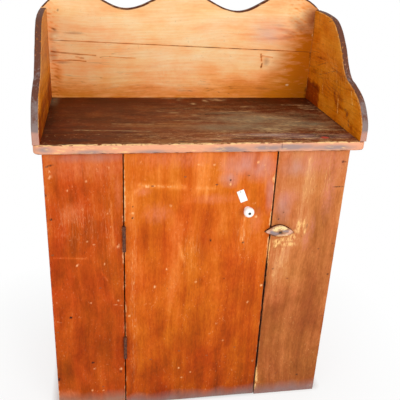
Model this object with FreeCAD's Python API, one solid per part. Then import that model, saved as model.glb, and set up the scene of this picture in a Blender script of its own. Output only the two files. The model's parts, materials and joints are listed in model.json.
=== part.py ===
import FreeCAD, Part
import math
import os

# Dry sink cabinet in pine: a boarded case with one full-height door, under an overhanging top
# that carries a low scrolled gallery on three sides. Millimetres, +Z up, the front faces -Y.
# The origin is on the floor, under the middle of the whole piece.

# ---- driving dimensions ----

# case
case_width = 800.0            # over the two side boards
case_height = 827.0           # floor to the underside of the top
case_depth = 426.0            # front of the face boards to the back edges of the sides
side_thickness = 19.0
face_thickness = 20.0
face_left_width = 196.5
face_right_width = 197.5
case_back_thickness = 16.0
case_back_count = 3
case_back_gap = 0.5           # between one back board and the next
shelf_thickness = 18.0
bottom_height = 70.0          # floor to the underside of the bottom board
shelf_height = 420.0          # floor to the underside of the shelf
cleat_width = 24.0
cleat_setback = 12.0          # from each end of a cleat to the front and back boards
interior_clearance = 0.3      # bottom and shelf, at each end

# door
door_gap = 3.0                # at each long edge
door_head_gap = 3.0
door_floor_gap = 4.0
door_seat_clearance = 0.3     # between the closed door and the shelf's front edge
batten_length = 330.0
batten_width = 62.0
batten_thickness = 19.0
lower_batten_height = 150.0   # floor to the lower edge
upper_batten_drop = 50.0      # the door's top to the batten's upper edge

# top
top_thickness = 25.5
overhang_front = 21.0
overhang_left = 18.5
overhang_right = 31.0
top_front_board_depth = 88.0
top_corner_radius = 6.0
top_joint_gap = 0.4

# gallery
gallery_thickness = 18.5      # the two side boards
gallery_back_thickness = 19.0
gallery_rise_left = 263.0     # top board to the level run at the back of each side
gallery_rise_right = 277.0
nose_start = 28.0             # the front edge runs straight up to here
nose_reach, nose_rise = 12.0, 60.0
brow_reach, brow_rise = 52.0, 100.5
tread_reach, tread_rise = 110.0, 124.0
hollow_reach, hollow_rise = 142.0, 133.5
riser_reach, riser_rise = 172.0, 157.0
throat_reach = 216.0
throat_drop = 65.5            # below the level run
shoulder_reach = 281.0
shoulder_drop = 15.5          # below the level run
level_reach = 352.0           # from here to the back the edge is nearly level
level_drop = 2.0
seam_rise_left = 173.0        # joint between the two gallery back boards, over the top board
seam_rise_right = 147.5
seam_gap = 0.4
scallop_peak_rise = 324.0     # over the top board
scallop_dip_rise = 267.0
scallop_middle_shift = -9.5   # middle peak, from the middle of the top
scallop_dip_spacing = 170.0   # from the middle peak to the dip on each side
scallop_wave_pull = 0.364     # share of a half wave for which its ends run level
scallop_inset_left = 92.0     # from each end of the gallery to its outer peak
scallop_inset_right = 110.0
scallop_end_rise_left = 262.0
scallop_end_rise_right = 266.0
scallop_brow_left, scallop_brow_right = 30.0, 45.0      # how far each outer peak runs level
scallop_lean_left, scallop_lean_right = 22.0, 5.0       # how each end leans inwards
scallop_end_pull = 22.0

# butt hinges
hinge_length = 76.0
hinge_upper_drop = 243.0      # the door's top to the middle of the hinge
hinge_lower_height = 222.0    # floor to the middle of the hinge
barrel_radius = 4.5
barrel_clearance = 0.3        # barrel to the boards' faces
knuckle_count = 5
knuckle_gap = 0.3
hinge_pin_radius = 2.2
pin_clearance = 0.05
pin_end = 1.2                 # pin beyond the barrel at each end
leaf_width = 15.0
leaf_thickness = 2.0
leaf_spacing = 1.0            # between the two leaves of the closed hinge
hinge_screw_count = 3         # in each leaf
hinge_screw_end_inset = 11.0  # from each end of a leaf
hinge_screw_depth = 9.0       # screws' axis, behind the boards' faces
hinge_screw_radius = 1.7
hinge_screw_head_radius = 3.5
hinge_screw_head_depth = 1.7
hinge_screw_length = 19.0
screw_hole_clearance = 0.1

# knob
knob_right_inset = 69.0       # from the door's right edge to the knob's axis
knob_drop = 168.0             # from the door's top
knob_reach = 28.0             # from the door's face
knob_radius = 15.5
knob_foot_radius = 8.5
knob_foot_depth = 2.5
knob_neck_radius = 6.5
knob_neck_reach = 7.5
knob_face_radius = 9.0
knob_bulb_start = 11.0        # reach at which the bulb springs from the neck
knob_bulb_start_radius = 10.0
knob_bulb_reach = 18.5        # reach at the widest point
knob_recess_depth = 1.6
bolt_radius = 2.4
bolt_head_radius = 3.8
bolt_clearance = 0.1
nut_width = 11.0
nut_thickness = 4.0
bolt_end = 1.5                # bolt beyond the nut

# turn button
button_right_offset = 27.0    # its pivot, right of the door's right edge
button_drop = 240.0           # from the underside of the top
button_half_length = 42.5     # from the pivot to each tip
button_crown_rise = 20.0      # top of the upper edge, over the pivot
button_right_tip_drop = 5.0   # right tip, under the left one
button_belly_drop = 14.5      # lowest corner, under the pivot
button_belly_shift = 13.0     # lowest corner, left of the pivot
button_belly_bow = 4.0        # how far the long lower edge bows out
button_thickness = 13.0
button_tip_thickness = 5.0
button_flat = 26.0            # length of the full thickness at its middle
button_standoff = 0.4
button_screw_radius = 2.4
button_screw_clearance = 0.05
button_screw_head_radius = 3.2
button_screw_head_depth = 1.8
button_screw_recess = 0.6     # head below the button's face
button_seat_clearance = 0.15  # around and under the screw's head
button_screw_depth = 17.0     # into the face board

# blank card tag and its tack
tag_width = 20.0
tag_length = 35.0
tag_thickness = 0.6
tag_right_inset = 86.5        # tag's middle, from the door's right edge
tag_drop = 128.0              # tag's middle, from the door's top
tag_tilt = 23.0               # degrees, its foot swung to the right
tack_radius = 0.8
tack_head_radius = 2.2
tack_head_thickness = 0.8
tack_length = 9.0
tack_inset = 4.0              # below the tag's upper edge

# cut nails
nail_length = 48.0
nail_shank = 2.8
nail_head_long = 6.4
nail_head_wide = 3.6
nail_head_thickness = 1.4
nail_edge_inset = 38.0        # from a board's end to its first nail
face_nail_rows = 4
face_nail_seam_inset = 65.0   # nails into the shelf and bottom, from the door opening
gallery_foot_nail_count = 3   # in each gallery side
gallery_back_nail_count = 5   # along the top board's rear edge
case_back_nail_inset = 37.0   # from a back board's edge
batten_nail_count = 4
batten_nail_stagger = 12.0    # above and below the batten's middle line
clinch_nail_length = 38.0
cleat_nail_length = 38.0

# ---- places worked out from the dimensions ----

top_width = overhang_left + case_width + overhang_right
top_left = -top_width / 2
top_right = top_width / 2
case_left = top_left + overhang_left
case_right = case_left + case_width

front_reach = max(knob_reach, overhang_front)
rear_reach = max(gallery_back_thickness, case_back_thickness)
face_y = front_reach - (front_reach + case_depth + rear_reach) / 2
inner_y = face_y + face_thickness
rear_y = face_y + case_depth
top_front_y = face_y - overhang_front
top_z = case_height + top_thickness

side_inner_left = case_left + side_thickness
side_inner_right = case_right - side_thickness
opening_left = case_left + face_left_width
opening_right = case_right - face_right_width
door_left = opening_left + door_gap
door_right = opening_right - door_gap
door_thickness = face_thickness - door_seat_clearance
door_inner_y = face_y + door_thickness
door_top = case_height - door_head_gap
upper_batten_height = door_top - upper_batten_drop - batten_width
knob_height = door_top - knob_drop
tag_height = door_top - tag_drop
button_height = case_height - button_drop
hinge_upper_height = door_top - hinge_upper_drop

hinge_x = (opening_left + door_left) / 2
hinge_y = face_y - barrel_radius - barrel_clearance

X_AXIS = FreeCAD.Vector(1, 0, 0)
Y_AXIS = FreeCAD.Vector(0, 1, 0)
Z_AXIS = FreeCAD.Vector(0, 0, 1)
BACKWARD = Y_AXIS
FORWARD = -Y_AXIS
LEFT = -X_AXIS
RIGHT = X_AXIS
UP = Z_AXIS
DOWN = -Z_AXIS

pieces = {}


# ---- shapes used by more than one piece ----

def vector(x, y, z):
    return FreeCAD.Vector(x, y, z)


def block(x0, x1, y0, y1, z0, z1):
    """A square-edged board between two opposite corners."""
    return Part.makeBox(x1 - x0, y1 - y0, z1 - z0, vector(x0, y0, z0))


def rod(radius, start, direction, length):
    return Part.makeCylinder(radius, length, start, direction)


def loop(points):
    return Part.makePolygon(list(points) + [points[0]])


def bored(shape, tools):
    """The shape with all the tools taken out of it."""
    return shape.cut(list(tools)) if tools else shape


def swept_curve(start, start_pull, end, end_pull):
    """A cubic curve that leaves start along its pull and comes into end from its pull."""
    curve = Part.BezierCurve()
    curve.setPoles([start, start + start_pull, end + end_pull, end])
    return curve.toShape()


def smooth_edge(points, first_direction, last_direction):
    """Cubic curves through all the points. At each inner point the edge runs parallel to the line
    between its two neighbours, and every curve is pulled by a third of its own span."""
    directions = [first_direction]
    directions += [(after - before).normalize() for before, after in zip(points, points[2:])]
    directions.append(last_direction)
    edges = []
    for i, (start, end) in enumerate(zip(points, points[1:])):
        pull = (end - start).Length / 3
        edges.append(swept_curve(start, directions[i] * pull, end, directions[i + 1] * -pull))
    return edges


def slab(edges, thickness_vector):
    """A flat board whose outline is the closed chain of edges."""
    return Part.Face(Part.Wire(edges)).extrude(thickness_vector)


def turned(profile, centre, axis):
    """A lathe-turned solid: the closed profile's edges swept once around the axis."""
    face = Part.Face(Part.Wire(profile))
    return face.revolve(centre, axis, 360)


def cut_nail(head, direction, length):
    """A cut nail driven along direction, its flat head flush with the wood at head."""
    half = nail_shank / 2
    shank = block(-half, half, -half, half, 0, length)
    cap = block(-nail_head_long / 2, nail_head_long / 2,
                -nail_head_wide / 2, nail_head_wide / 2, 0, nail_head_thickness)
    nail = cap.fuse(shank).removeSplitter()
    nail.Placement = FreeCAD.Placement(head, FreeCAD.Rotation(Z_AXIS, direction))
    return nail


def countersunk_screw(head, direction, radius, head_radius, head_depth, length):
    """A flat-headed screw driven along direction, its head flush at head."""
    cone = Part.makeCone(head_radius, radius, head_depth, head, direction)
    return cone.fuse(rod(radius, head, direction, length)).removeSplitter()


def countersunk_hole(head, direction, radius, head_radius, head_depth, length):
    clearance = screw_hole_clearance
    return countersunk_screw(head, direction, radius + clearance, head_radius + clearance,
                             head_depth + clearance, length + clearance)


def even_places(first, last, count):
    return [first + (last - first) * i / (count - 1) for i in range(count)]


# ---- edges of the back boards ----

def case_back_edges():
    """Lower and upper edge of each case back board, from the floor up."""
    height = (case_height - case_back_gap * case_back_count) / case_back_count
    lower = [i * (height + case_back_gap) for i in range(case_back_count)]
    return [(z, z + height) for z in lower]


def seam_z(x):
    """Height of the joint between the two gallery back boards."""
    share = (x - top_left) / top_width
    return top_z + seam_rise_left + (seam_rise_right - seam_rise_left) * share


# ---- nails: each group is driven first, and the boards are then cut around it ----

side_middles = [case_left + side_thickness / 2, case_right - side_thickness / 2]
gallery_middles = [top_left + gallery_thickness / 2, top_right - gallery_thickness / 2]
board_middles = [bottom_height + shelf_thickness / 2, shelf_height + shelf_thickness / 2]
nail_rows = even_places(nail_edge_inset, case_height - nail_edge_inset, face_nail_rows)
face_nail_xs = (opening_left - face_nail_seam_inset, opening_right + face_nail_seam_inset)

face_nails = [cut_nail(vector(x, face_y, z), BACKWARD, nail_length)
              for x in side_middles for z in nail_rows]
face_nails += [cut_nail(vector(x, face_y, z), BACKWARD, nail_length)
               for x in face_nail_xs for z in board_middles]

top_nails = [cut_nail(vector(x, y, top_z), DOWN, nail_length)
             for x in side_middles
             for y in (inner_y + nail_edge_inset, face_y + case_depth / 2, rear_y - nail_edge_inset)]
top_nails += [cut_nail(vector(x, face_y + face_thickness / 2, top_z), DOWN, nail_length)
              for x in face_nail_xs]

gallery_foot_nails = [cut_nail(vector(x, y, case_height), UP, nail_length)
                      for x in gallery_middles
                      for y in even_places(top_front_y + nail_edge_inset,
                                           rear_y - 2 * nail_edge_inset,
                                           gallery_foot_nail_count)]

gallery_back_nails = []
gallery_back_rear_y = rear_y + gallery_back_thickness
for gallery_middle in gallery_middles:
    seam = seam_z(gallery_middle)
    for z in (top_z + nail_edge_inset, seam - nail_edge_inset, seam + nail_edge_inset):
        gallery_back_nails.append(
            cut_nail(vector(gallery_middle, gallery_back_rear_y, z), FORWARD, nail_length))
gallery_back_nails += [
    cut_nail(vector(x, gallery_back_rear_y, case_height + top_thickness / 2), FORWARD, nail_length)
    for x in even_places(case_left + 2 * nail_edge_inset, case_right - 2 * nail_edge_inset,
                         gallery_back_nail_count)]

case_back_rear_y = rear_y + case_back_thickness
case_back_nails = [cut_nail(vector(x, case_back_rear_y, z), FORWARD, nail_length)
                   for x in side_middles
                   for lower, upper in case_back_edges()
                   for z in (lower + case_back_nail_inset, upper - case_back_nail_inset)]


# ---- case ----

def case_sides():
    nails = face_nails + top_nails + case_back_nails + cleat_nails
    for name, x0 in (("case_side_left", case_left), ("case_side_right", side_inner_right)):
        board = block(x0, x0 + side_thickness, inner_y, rear_y, 0, case_height)
        pieces[name] = bored(board, nails)


def cleats_and_their_nails():
    """The strips under the bottom board and the shelf, each nailed to its side board."""
    y0 = inner_y + cleat_setback
    y1 = rear_y - cleat_setback
    nails = []
    for level, underside in (("bottom", bottom_height), ("shelf", shelf_height)):
        z0 = underside - cleat_width
        for hand, x0, outward in (("left", side_inner_left, LEFT),
                                  ("right", side_inner_right - cleat_width, RIGHT)):
            inner_face = x0 + cleat_width if outward == LEFT else x0
            driven = [cut_nail(vector(inner_face, y, z0 + cleat_width / 2), outward,
                               cleat_nail_length)
                      for y in (y0 + nail_edge_inset, y1 - nail_edge_inset)]
            strip = block(x0, x0 + cleat_width, y0, y1, z0, underside)
            pieces[f"{level}_cleat_{hand}"] = bored(strip, driven)
            nails += driven
    return nails


def bottom_and_shelf():
    for name, z0 in (("bottom_board", bottom_height), ("shelf_board", shelf_height)):
        board = block(side_inner_left + interior_clearance, side_inner_right - interior_clearance,
                      inner_y, rear_y, z0, z0 + shelf_thickness)
        pieces[name] = bored(board, face_nails)


def face_boards():
    nails = face_nails + top_nails
    left = block(case_left, opening_left, face_y, inner_y, 0, case_height)
    pieces["face_board_left"] = bored(left, nails + case_leaf_cuts)
    right = block(opening_right, case_right, face_y, inner_y, 0, case_height)
    pieces["face_board_right"] = bored(right, nails + [button_screw_hole()])


def case_backs():
    names = [f"case_back_board_{i + 1}" for i in range(case_back_count)]
    for name, (lower, upper) in zip(names, case_back_edges()):
        board = block(case_left, case_right, rear_y, case_back_rear_y, lower, upper)
        pieces[name] = bored(board, case_back_nails)


# ---- top ----

def rounded_front_corners(board):
    corners = [edge for edge in board.Edges
               if abs(edge.BoundBox.YMax - top_front_y) < 0.01 and edge.BoundBox.ZLength > 1]
    return board.makeFillet(top_corner_radius, corners)


def top_boards():
    nails = top_nails + gallery_foot_nails + gallery_back_nails
    seam_y = top_front_y + top_front_board_depth
    front = block(top_left, top_right, top_front_y, seam_y, case_height, top_z)
    pieces["top_board_front"] = bored(rounded_front_corners(front), nails)
    rear = block(top_left, top_right, seam_y + top_joint_gap, rear_y, case_height, top_z)
    pieces["top_board_rear"] = bored(rear, nails)


# ---- gallery ----

def gallery_side_outline(x, gallery_rise):
    """Side of the gallery: straight up at the front, round over the nose, nearly level along
    the tread, through a hollow, up the throat and over the shoulder to the level run at the
    back."""
    def at(reach, rise):
        return vector(x, top_front_y + reach, top_z + rise)
    foot_front = at(0, 0)
    foot_rear = vector(x, rear_y, top_z)
    rear_top = vector(x, rear_y, top_z + gallery_rise)
    scroll = [at(0, nose_start), at(nose_reach, nose_rise), at(brow_reach, brow_rise),
              at(tread_reach, tread_rise), at(hollow_reach, hollow_rise),
              at(riser_reach, riser_rise),
              at(throat_reach, gallery_rise - throat_drop),
              at(shoulder_reach, gallery_rise - shoulder_drop),
              at(level_reach, gallery_rise - level_drop), rear_top]
    return [Part.makeLine(foot_front, scroll[0]),
            *smooth_edge(scroll, UP, BACKWARD),
            Part.makeLine(rear_top, foot_rear),
            Part.makeLine(foot_rear, foot_front)]


def gallery_sides():
    nails = gallery_foot_nails + gallery_back_nails
    for name, x0, rise in (("gallery_side_left", top_left, gallery_rise_left),
                           ("gallery_side_right", top_right - gallery_thickness,
                            gallery_rise_right)):
        board = slab(gallery_side_outline(x0, rise), RIGHT * gallery_thickness)
        pieces[name] = bored(board, nails)


def scalloped_edge():
    """Upper edge of the gallery back, right to left: a rounded end, three peaks with two dips
    between them, and a rounded end. Each half wave starts and ends level."""
    def at(x, rise):
        return vector(x, rear_y, top_z + rise)

    turns = [at(top_right - scallop_inset_right, scallop_peak_rise),
             at(scallop_middle_shift + scallop_dip_spacing, scallop_dip_rise),
             at(scallop_middle_shift, scallop_peak_rise),
             at(scallop_middle_shift - scallop_dip_spacing, scallop_dip_rise),
             at(top_left + scallop_inset_left, scallop_peak_rise)]
    right_end = at(top_right, scallop_end_rise_right)
    left_end = at(top_left, scallop_end_rise_left)
    edges = [swept_curve(right_end, LEFT * scallop_lean_right + UP * scallop_end_pull,
                         turns[0], RIGHT * scallop_brow_right)]
    for start, end in zip(turns, turns[1:]):
        pull = (start.x - end.x) * scallop_wave_pull
        edges.append(swept_curve(start, LEFT * pull, end, RIGHT * pull))
    edges.append(swept_curve(turns[-1], LEFT * scallop_brow_left,
                             left_end, RIGHT * scallop_lean_left + UP * scallop_end_pull))
    return right_end, edges, left_end


def gallery_back():
    def seam_point(x, offset):
        return vector(x, rear_y, seam_z(x) + offset)
    depth = BACKWARD * gallery_back_thickness
    lower = loop([vector(top_left, rear_y, case_height), vector(top_right, rear_y, case_height),
                  seam_point(top_right, -seam_gap / 2), seam_point(top_left, -seam_gap / 2)])
    pieces["gallery_back_lower"] = bored(Part.Face(lower).extrude(depth), gallery_back_nails)
    right_end, scallops, left_end = scalloped_edge()
    foot_left = seam_point(top_left, seam_gap / 2)
    foot_right = seam_point(top_right, seam_gap / 2)
    outline = [Part.makeLine(foot_right, right_end), *scallops,
               Part.makeLine(left_end, foot_left), Part.makeLine(foot_left, foot_right)]
    upper = slab(outline, depth)
    pieces["gallery_back_upper"] = bored(upper, gallery_back_nails)


# ---- door ----

def battens_and_their_nails():
    """Two battens across the inside of the door, nailed through from its face."""
    middle = (door_left + door_right) / 2
    x0 = middle - batten_length / 2
    x1 = middle + batten_length / 2
    nails = []
    for level, z0 in (("lower", lower_batten_height), ("upper", upper_batten_height)):
        driven = []
        for i, x in enumerate(even_places(x0 + nail_edge_inset, x1 - nail_edge_inset,
                                          batten_nail_count)):
            stagger = batten_nail_stagger * (-1) ** i
            driven.append(cut_nail(vector(x, face_y, z0 + batten_width / 2 - stagger), BACKWARD,
                                   clinch_nail_length))
        strip = block(x0, x1, door_inner_y, door_inner_y + batten_thickness, z0, z0 + batten_width)
        pieces[f"door_batten_{level}"] = bored(strip, driven)
        nails += driven
    return nails


def door_board():
    board = block(door_left, door_right, face_y, door_inner_y, door_floor_gap, door_top)
    knob_hole = rod(bolt_radius + bolt_clearance, knob_point(0), BACKWARD, door_thickness)
    pieces["door_board"] = bored(board, batten_nails + door_leaf_cuts + [knob_hole, tack_hole()])


# ---- hinges ----

def knuckle_edges(middle):
    """Lower and upper end of each knuckle, from the bottom of the barrel up."""
    pitch = hinge_length / knuckle_count
    start = middle - hinge_length / 2
    edges = []
    for i in range(knuckle_count):
        below = 0 if i == 0 else knuckle_gap / 2
        above = 0 if i == knuckle_count - 1 else knuckle_gap / 2
        edges.append((start + i * pitch + below, start + (i + 1) * pitch - above))
    return edges


def hinge(name, middle):
    """One butt hinge. The case leaf has the odd knuckles and the door leaf the even ones.
    Gives the mortises and screw holes to cut in the face board and in the door."""
    cuts = {}
    z0 = middle - hinge_length / 2
    z1 = middle + hinge_length / 2
    knuckles = knuckle_edges(middle)
    bore = rod(hinge_pin_radius + pin_clearance, vector(hinge_x, hinge_y, z0), UP, hinge_length)
    screw_y = face_y + hinge_screw_depth
    screw_places = even_places(z0 + hinge_screw_end_inset, z1 - hinge_screw_end_inset,
                               hinge_screw_count)
    for owner, hand, first in (("case", LEFT, 0), ("door", RIGHT, 1)):
        near = hinge_x + hand.x * leaf_spacing / 2
        far = near + hand.x * leaf_thickness
        x0, x1 = min(near, far), max(near, far)
        plate = block(x0, x1, face_y, face_y + leaf_width, z0, z1)
        screws = []
        holes = []
        for z in screw_places:
            size = (hinge_screw_radius, hinge_screw_head_radius, hinge_screw_head_depth,
                    hinge_screw_length)
            screws.append(countersunk_screw(vector(near, screw_y, z), hand, *size))
            holes.append(countersunk_hole(vector(near, screw_y, z), hand, *size))
        leaf = plate
        for low, high in knuckles[first::2]:
            tongue = block(x0, x1, hinge_y, face_y, low, high)
            barrel = rod(barrel_radius, vector(hinge_x, hinge_y, low), UP, high - low)
            leaf = leaf.fuse([tongue, barrel])
        pieces[f"hinge_{name}_{owner}_leaf"] = bored(leaf.removeSplitter(), [bore] + holes)
        pieces[f"hinge_{name}_{owner}_screws"] = Part.makeCompound(screws)
        cuts[owner] = [plate] + holes
    pieces[f"hinge_{name}_pin"] = rod(hinge_pin_radius, vector(hinge_x, hinge_y, z0 - pin_end), UP,
                                      hinge_length + 2 * pin_end)
    return cuts["case"], cuts["door"]


# ---- knob ----

def knob_point(reach, out=0.0):
    """A point at this reach in front of the door's face and this far from the knob's axis."""
    return vector(door_right - knob_right_inset + out, face_y - reach, knob_height)


def knob():
    """Turned porcelain knob: a small foot, a waisted neck and a round bulb with a flat face,
    recessed for the head of its bolt."""
    bore = bolt_radius + bolt_clearance
    recess = bolt_head_radius + bolt_clearance
    recess_floor = knob_reach - knob_recess_depth
    foot_edge = knob_point(knob_foot_depth, knob_foot_radius)
    bulb_start = knob_point(knob_bulb_start, knob_bulb_start_radius)
    bulb_end = knob_point(knob_reach, knob_face_radius)
    profile = [
        Part.makeLine(knob_point(0, bore), knob_point(0, knob_foot_radius)),
        Part.makeLine(knob_point(0, knob_foot_radius), foot_edge),
        Part.Arc(foot_edge, knob_point(knob_neck_reach, knob_neck_radius), bulb_start).toShape(),
        Part.Arc(bulb_start, knob_point(knob_bulb_reach, knob_radius), bulb_end).toShape(),
        Part.makeLine(bulb_end, knob_point(knob_reach, recess)),
        Part.makeLine(knob_point(knob_reach, recess), knob_point(recess_floor, recess)),
        Part.makeLine(knob_point(recess_floor, recess), knob_point(recess_floor, bore)),
        Part.makeLine(knob_point(recess_floor, bore), knob_point(0, bore))]
    pieces["knob"] = turned(profile, knob_point(0), Y_AXIS)

    head = rod(bolt_head_radius, knob_point(knob_reach), BACKWARD, knob_recess_depth)
    through = knob_reach + door_thickness + nut_thickness + bolt_end
    pieces["knob_bolt"] = head.fuse(rod(bolt_radius, knob_point(knob_reach), BACKWARD, through))
    pieces["knob_bolt"] = pieces["knob_bolt"].removeSplitter()

    axis = knob_point(0)
    half = nut_width / 2
    nut = block(axis.x - half, axis.x + half, door_inner_y, door_inner_y + nut_thickness,
                axis.z - half, axis.z + half)
    pieces["knob_nut"] = bored(nut, [rod(bolt_radius + bolt_clearance / 2, axis, BACKWARD,
                                         door_thickness + nut_thickness)])


# ---- turn button ----

def button_point(along, forward, above):
    """A point given from the button's pivot on the face of the right face board."""
    return vector(door_right + button_right_offset + along, face_y - forward,
                  button_height + above)


def button_screw_hole():
    return rod(button_screw_radius + screw_hole_clearance, button_point(0, 0, 0), BACKWARD,
               button_screw_depth + screw_hole_clearance)


def turn_button():
    """Whittled wooden button: an almond outline with its lowest corner left of the pivot, thick
    at its middle and thin at its tips."""
    back = button_standoff
    front = button_standoff + button_thickness
    half = button_half_length
    left = button_point(-half, back, 0)
    right = button_point(half, back, -button_right_tip_drop)
    belly = button_point(-button_belly_shift, back, -button_belly_drop)
    bow = (right + belly) * 0.5 + DOWN * button_belly_bow
    outline = [Part.Arc(left, button_point(0, back, button_crown_rise), right).toShape(),
               Part.Arc(right, bow, belly).toShape(),
               Part.makeLine(belly, left)]
    almond = slab(outline, FORWARD * button_thickness)
    foot = -button_belly_drop - button_belly_bow
    side = loop([button_point(-half, back, foot), button_point(half, back, foot),
                 button_point(half, back + button_tip_thickness, foot),
                 button_point(button_flat / 2, front, foot),
                 button_point(-button_flat / 2, front, foot),
                 button_point(-half, back + button_tip_thickness, foot)])
    faceted = almond.common(Part.Face(side).extrude(UP * (button_crown_rise - foot)))
    bore = rod(button_screw_radius + button_screw_clearance, button_point(0, 0, 0), FORWARD, front)
    head_back = front - button_screw_recess - button_screw_head_depth
    seat = rod(button_screw_head_radius + button_seat_clearance,
               button_point(0, head_back - button_seat_clearance, 0), FORWARD, front)
    pieces["turn_button"] = bored(faceted, [bore, seat])

    head = rod(button_screw_head_radius, button_point(0, head_back, 0), FORWARD,
               button_screw_head_depth)
    shank = rod(button_screw_radius, button_point(0, -button_screw_depth, 0), FORWARD,
                button_screw_depth + head_back)
    pieces["turn_button_screw"] = head.fuse(shank).removeSplitter()


# ---- blank tag ----

def tag_point(forward, down_tag=0.0):
    """A point on the tag's long middle line, down_tag below its middle."""
    angle = math.radians(tag_tilt)
    return vector(door_right - tag_right_inset + down_tag * math.sin(angle), face_y - forward,
                  tag_height - down_tag * math.cos(angle))


def tack_hole():
    return rod(tack_radius, tag_point(0, tack_inset - tag_length / 2), BACKWARD, tack_length)


def tag_and_tack():
    card = block(-tag_width / 2, tag_width / 2, -tag_thickness, 0,
                 -tag_length / 2, tag_length / 2)
    card.Placement = FreeCAD.Placement(tag_point(0), FreeCAD.Rotation(Y_AXIS, -tag_tilt))
    tack_place = tag_point(tag_thickness, tack_inset - tag_length / 2)
    shank = rod(tack_radius, tack_place, BACKWARD, tag_thickness + tack_length)
    head = rod(tack_head_radius, tack_place, FORWARD, tack_head_thickness)
    pieces["card_tag"] = bored(card, [shank])
    pieces["tag_tack"] = head.fuse(shank).removeSplitter()


# ---- assembly ----

cleat_nails = cleats_and_their_nails()
batten_nails = battens_and_their_nails()
case_leaf_cuts = []
door_leaf_cuts = []
for hinge_name, hinge_middle in (("upper", hinge_upper_height), ("lower", hinge_lower_height)):
    case_cuts, door_cuts = hinge(hinge_name, hinge_middle)
    case_leaf_cuts += case_cuts
    door_leaf_cuts += door_cuts

case_sides()
bottom_and_shelf()
face_boards()
case_backs()
top_boards()
gallery_sides()
gallery_back()
door_board()
knob()
turn_button()
tag_and_tack()

nail_groups = {
    "face_nails": face_nails,
    "top_nails": top_nails,
    "gallery_foot_nails": gallery_foot_nails,
    "gallery_back_nails": gallery_back_nails,
    "case_back_nails": case_back_nails,
    "cleat_nails": cleat_nails,
    "batten_nails": batten_nails,
}
for group_name, group in nail_groups.items():
    pieces[group_name] = Part.makeCompound(group)

os.makedirs("parts", exist_ok=True)
for piece_name, shape in pieces.items():
    shape.exportStep(f"parts/{piece_name}.step")
    print(piece_name, len(shape.Solids), "solid(s)", "valid" if shape.isValid() else "NOT VALID")
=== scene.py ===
import json
import math
from functools import partial, reduce

import bmesh
import bpy
import numpy as np
from mathutils import Matrix, Vector


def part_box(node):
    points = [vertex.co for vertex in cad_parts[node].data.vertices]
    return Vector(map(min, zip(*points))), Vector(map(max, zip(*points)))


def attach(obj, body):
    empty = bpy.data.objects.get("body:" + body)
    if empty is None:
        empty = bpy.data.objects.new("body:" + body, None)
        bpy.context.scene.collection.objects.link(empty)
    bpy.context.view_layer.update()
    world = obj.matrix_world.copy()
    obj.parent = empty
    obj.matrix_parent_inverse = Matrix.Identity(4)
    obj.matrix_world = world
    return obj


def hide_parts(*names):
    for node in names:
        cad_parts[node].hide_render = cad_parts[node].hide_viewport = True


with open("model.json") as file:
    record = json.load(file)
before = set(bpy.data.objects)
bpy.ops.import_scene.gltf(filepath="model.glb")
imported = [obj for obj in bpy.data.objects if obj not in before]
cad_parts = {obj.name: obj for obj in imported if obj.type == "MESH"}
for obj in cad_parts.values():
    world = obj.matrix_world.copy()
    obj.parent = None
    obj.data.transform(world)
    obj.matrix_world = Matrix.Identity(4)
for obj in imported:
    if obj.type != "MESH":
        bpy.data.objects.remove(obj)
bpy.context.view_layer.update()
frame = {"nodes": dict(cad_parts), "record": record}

# Looks of a dry sink cabinet: hand-planed pine boards under old shellac, a dark worn top, a
# scrolled gallery, two iron butt hinges, a porcelain knob, a whittled turn button and a blank
# card tag. Shapes are worked out in millimetres and written to the meshes in metres.

MM = 0.001

behaviour = frame["record"]["behaviour"]
body_of = {node: body for body, nodes in behaviour["bodies"].items() for node in nodes}
slot_of = {part["node"]: part["material_slot"] for part in frame["record"]["subparts"]}


def node_box(node):
    """A node's lowest and highest corners in millimetres."""
    low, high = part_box(node)
    return np.array(low) / MM, np.array(high) / MM


def node_points(node):
    """The points of a node's mesh in millimetres."""
    mesh = frame["nodes"][node].data
    co = np.zeros(len(mesh.vertices) * 3)
    mesh.vertices.foreach_get("co", co)
    return co.reshape(-1, 3) / MM


# ---- colours and nodes ----

def linear(code):
    """An sRGB hex code as linear red, green and blue, with alpha."""
    channels = [int(code[i:i + 2], 16) / 255 for i in (1, 3, 5)]
    return [c / 12.92 if c <= 0.04045 else ((c + 0.055) / 1.055) ** 2.4 for c in channels] + [1.0]


def add(tree, kind, sockets=None, stops=(), **settings):
    """Adds a node with its settings. A socket takes a value, a hex colour or the output that
    feeds it, and a colour ramp takes its stops as (place, hex colour)."""
    made = tree.nodes.new(kind)
    for key, value in settings.items():
        setattr(made, key, value)
    for key, value in (sockets or {}).items():
        if isinstance(value, bpy.types.NodeSocket):
            tree.links.new(value, made.inputs[key])
        else:
            made.inputs[key].default_value = linear(value) if isinstance(value, str) else value
    for i, (place, colour) in enumerate(stops):
        elements = made.color_ramp.elements
        stop = elements[i] if i < 2 else elements.new(place)
        stop.position = place
        stop.color = linear(colour)
    return made


def calc(tree, operation, *inputs, kind="Math"):
    """What a math node makes of its inputs."""
    return add(tree, f"ShaderNode{kind}", dict(enumerate(inputs)), operation=operation).outputs[0]


def remap(tree, value, source, target=(0, 1), **settings):
    """A value carried from the source span to the target span, and kept within it."""
    sockets = {"Value": value, "From Min": source[0], "From Max": source[1],
               "To Min": target[0], "To Max": target[1]}
    return add(tree, "ShaderNodeMapRange", sockets, **settings).outputs[0]


def blank_tree(owner):
    """The emptied node tree of a material or a world."""
    owner.use_nodes = True
    owner.node_tree.nodes.clear()
    return owner.node_tree


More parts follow.
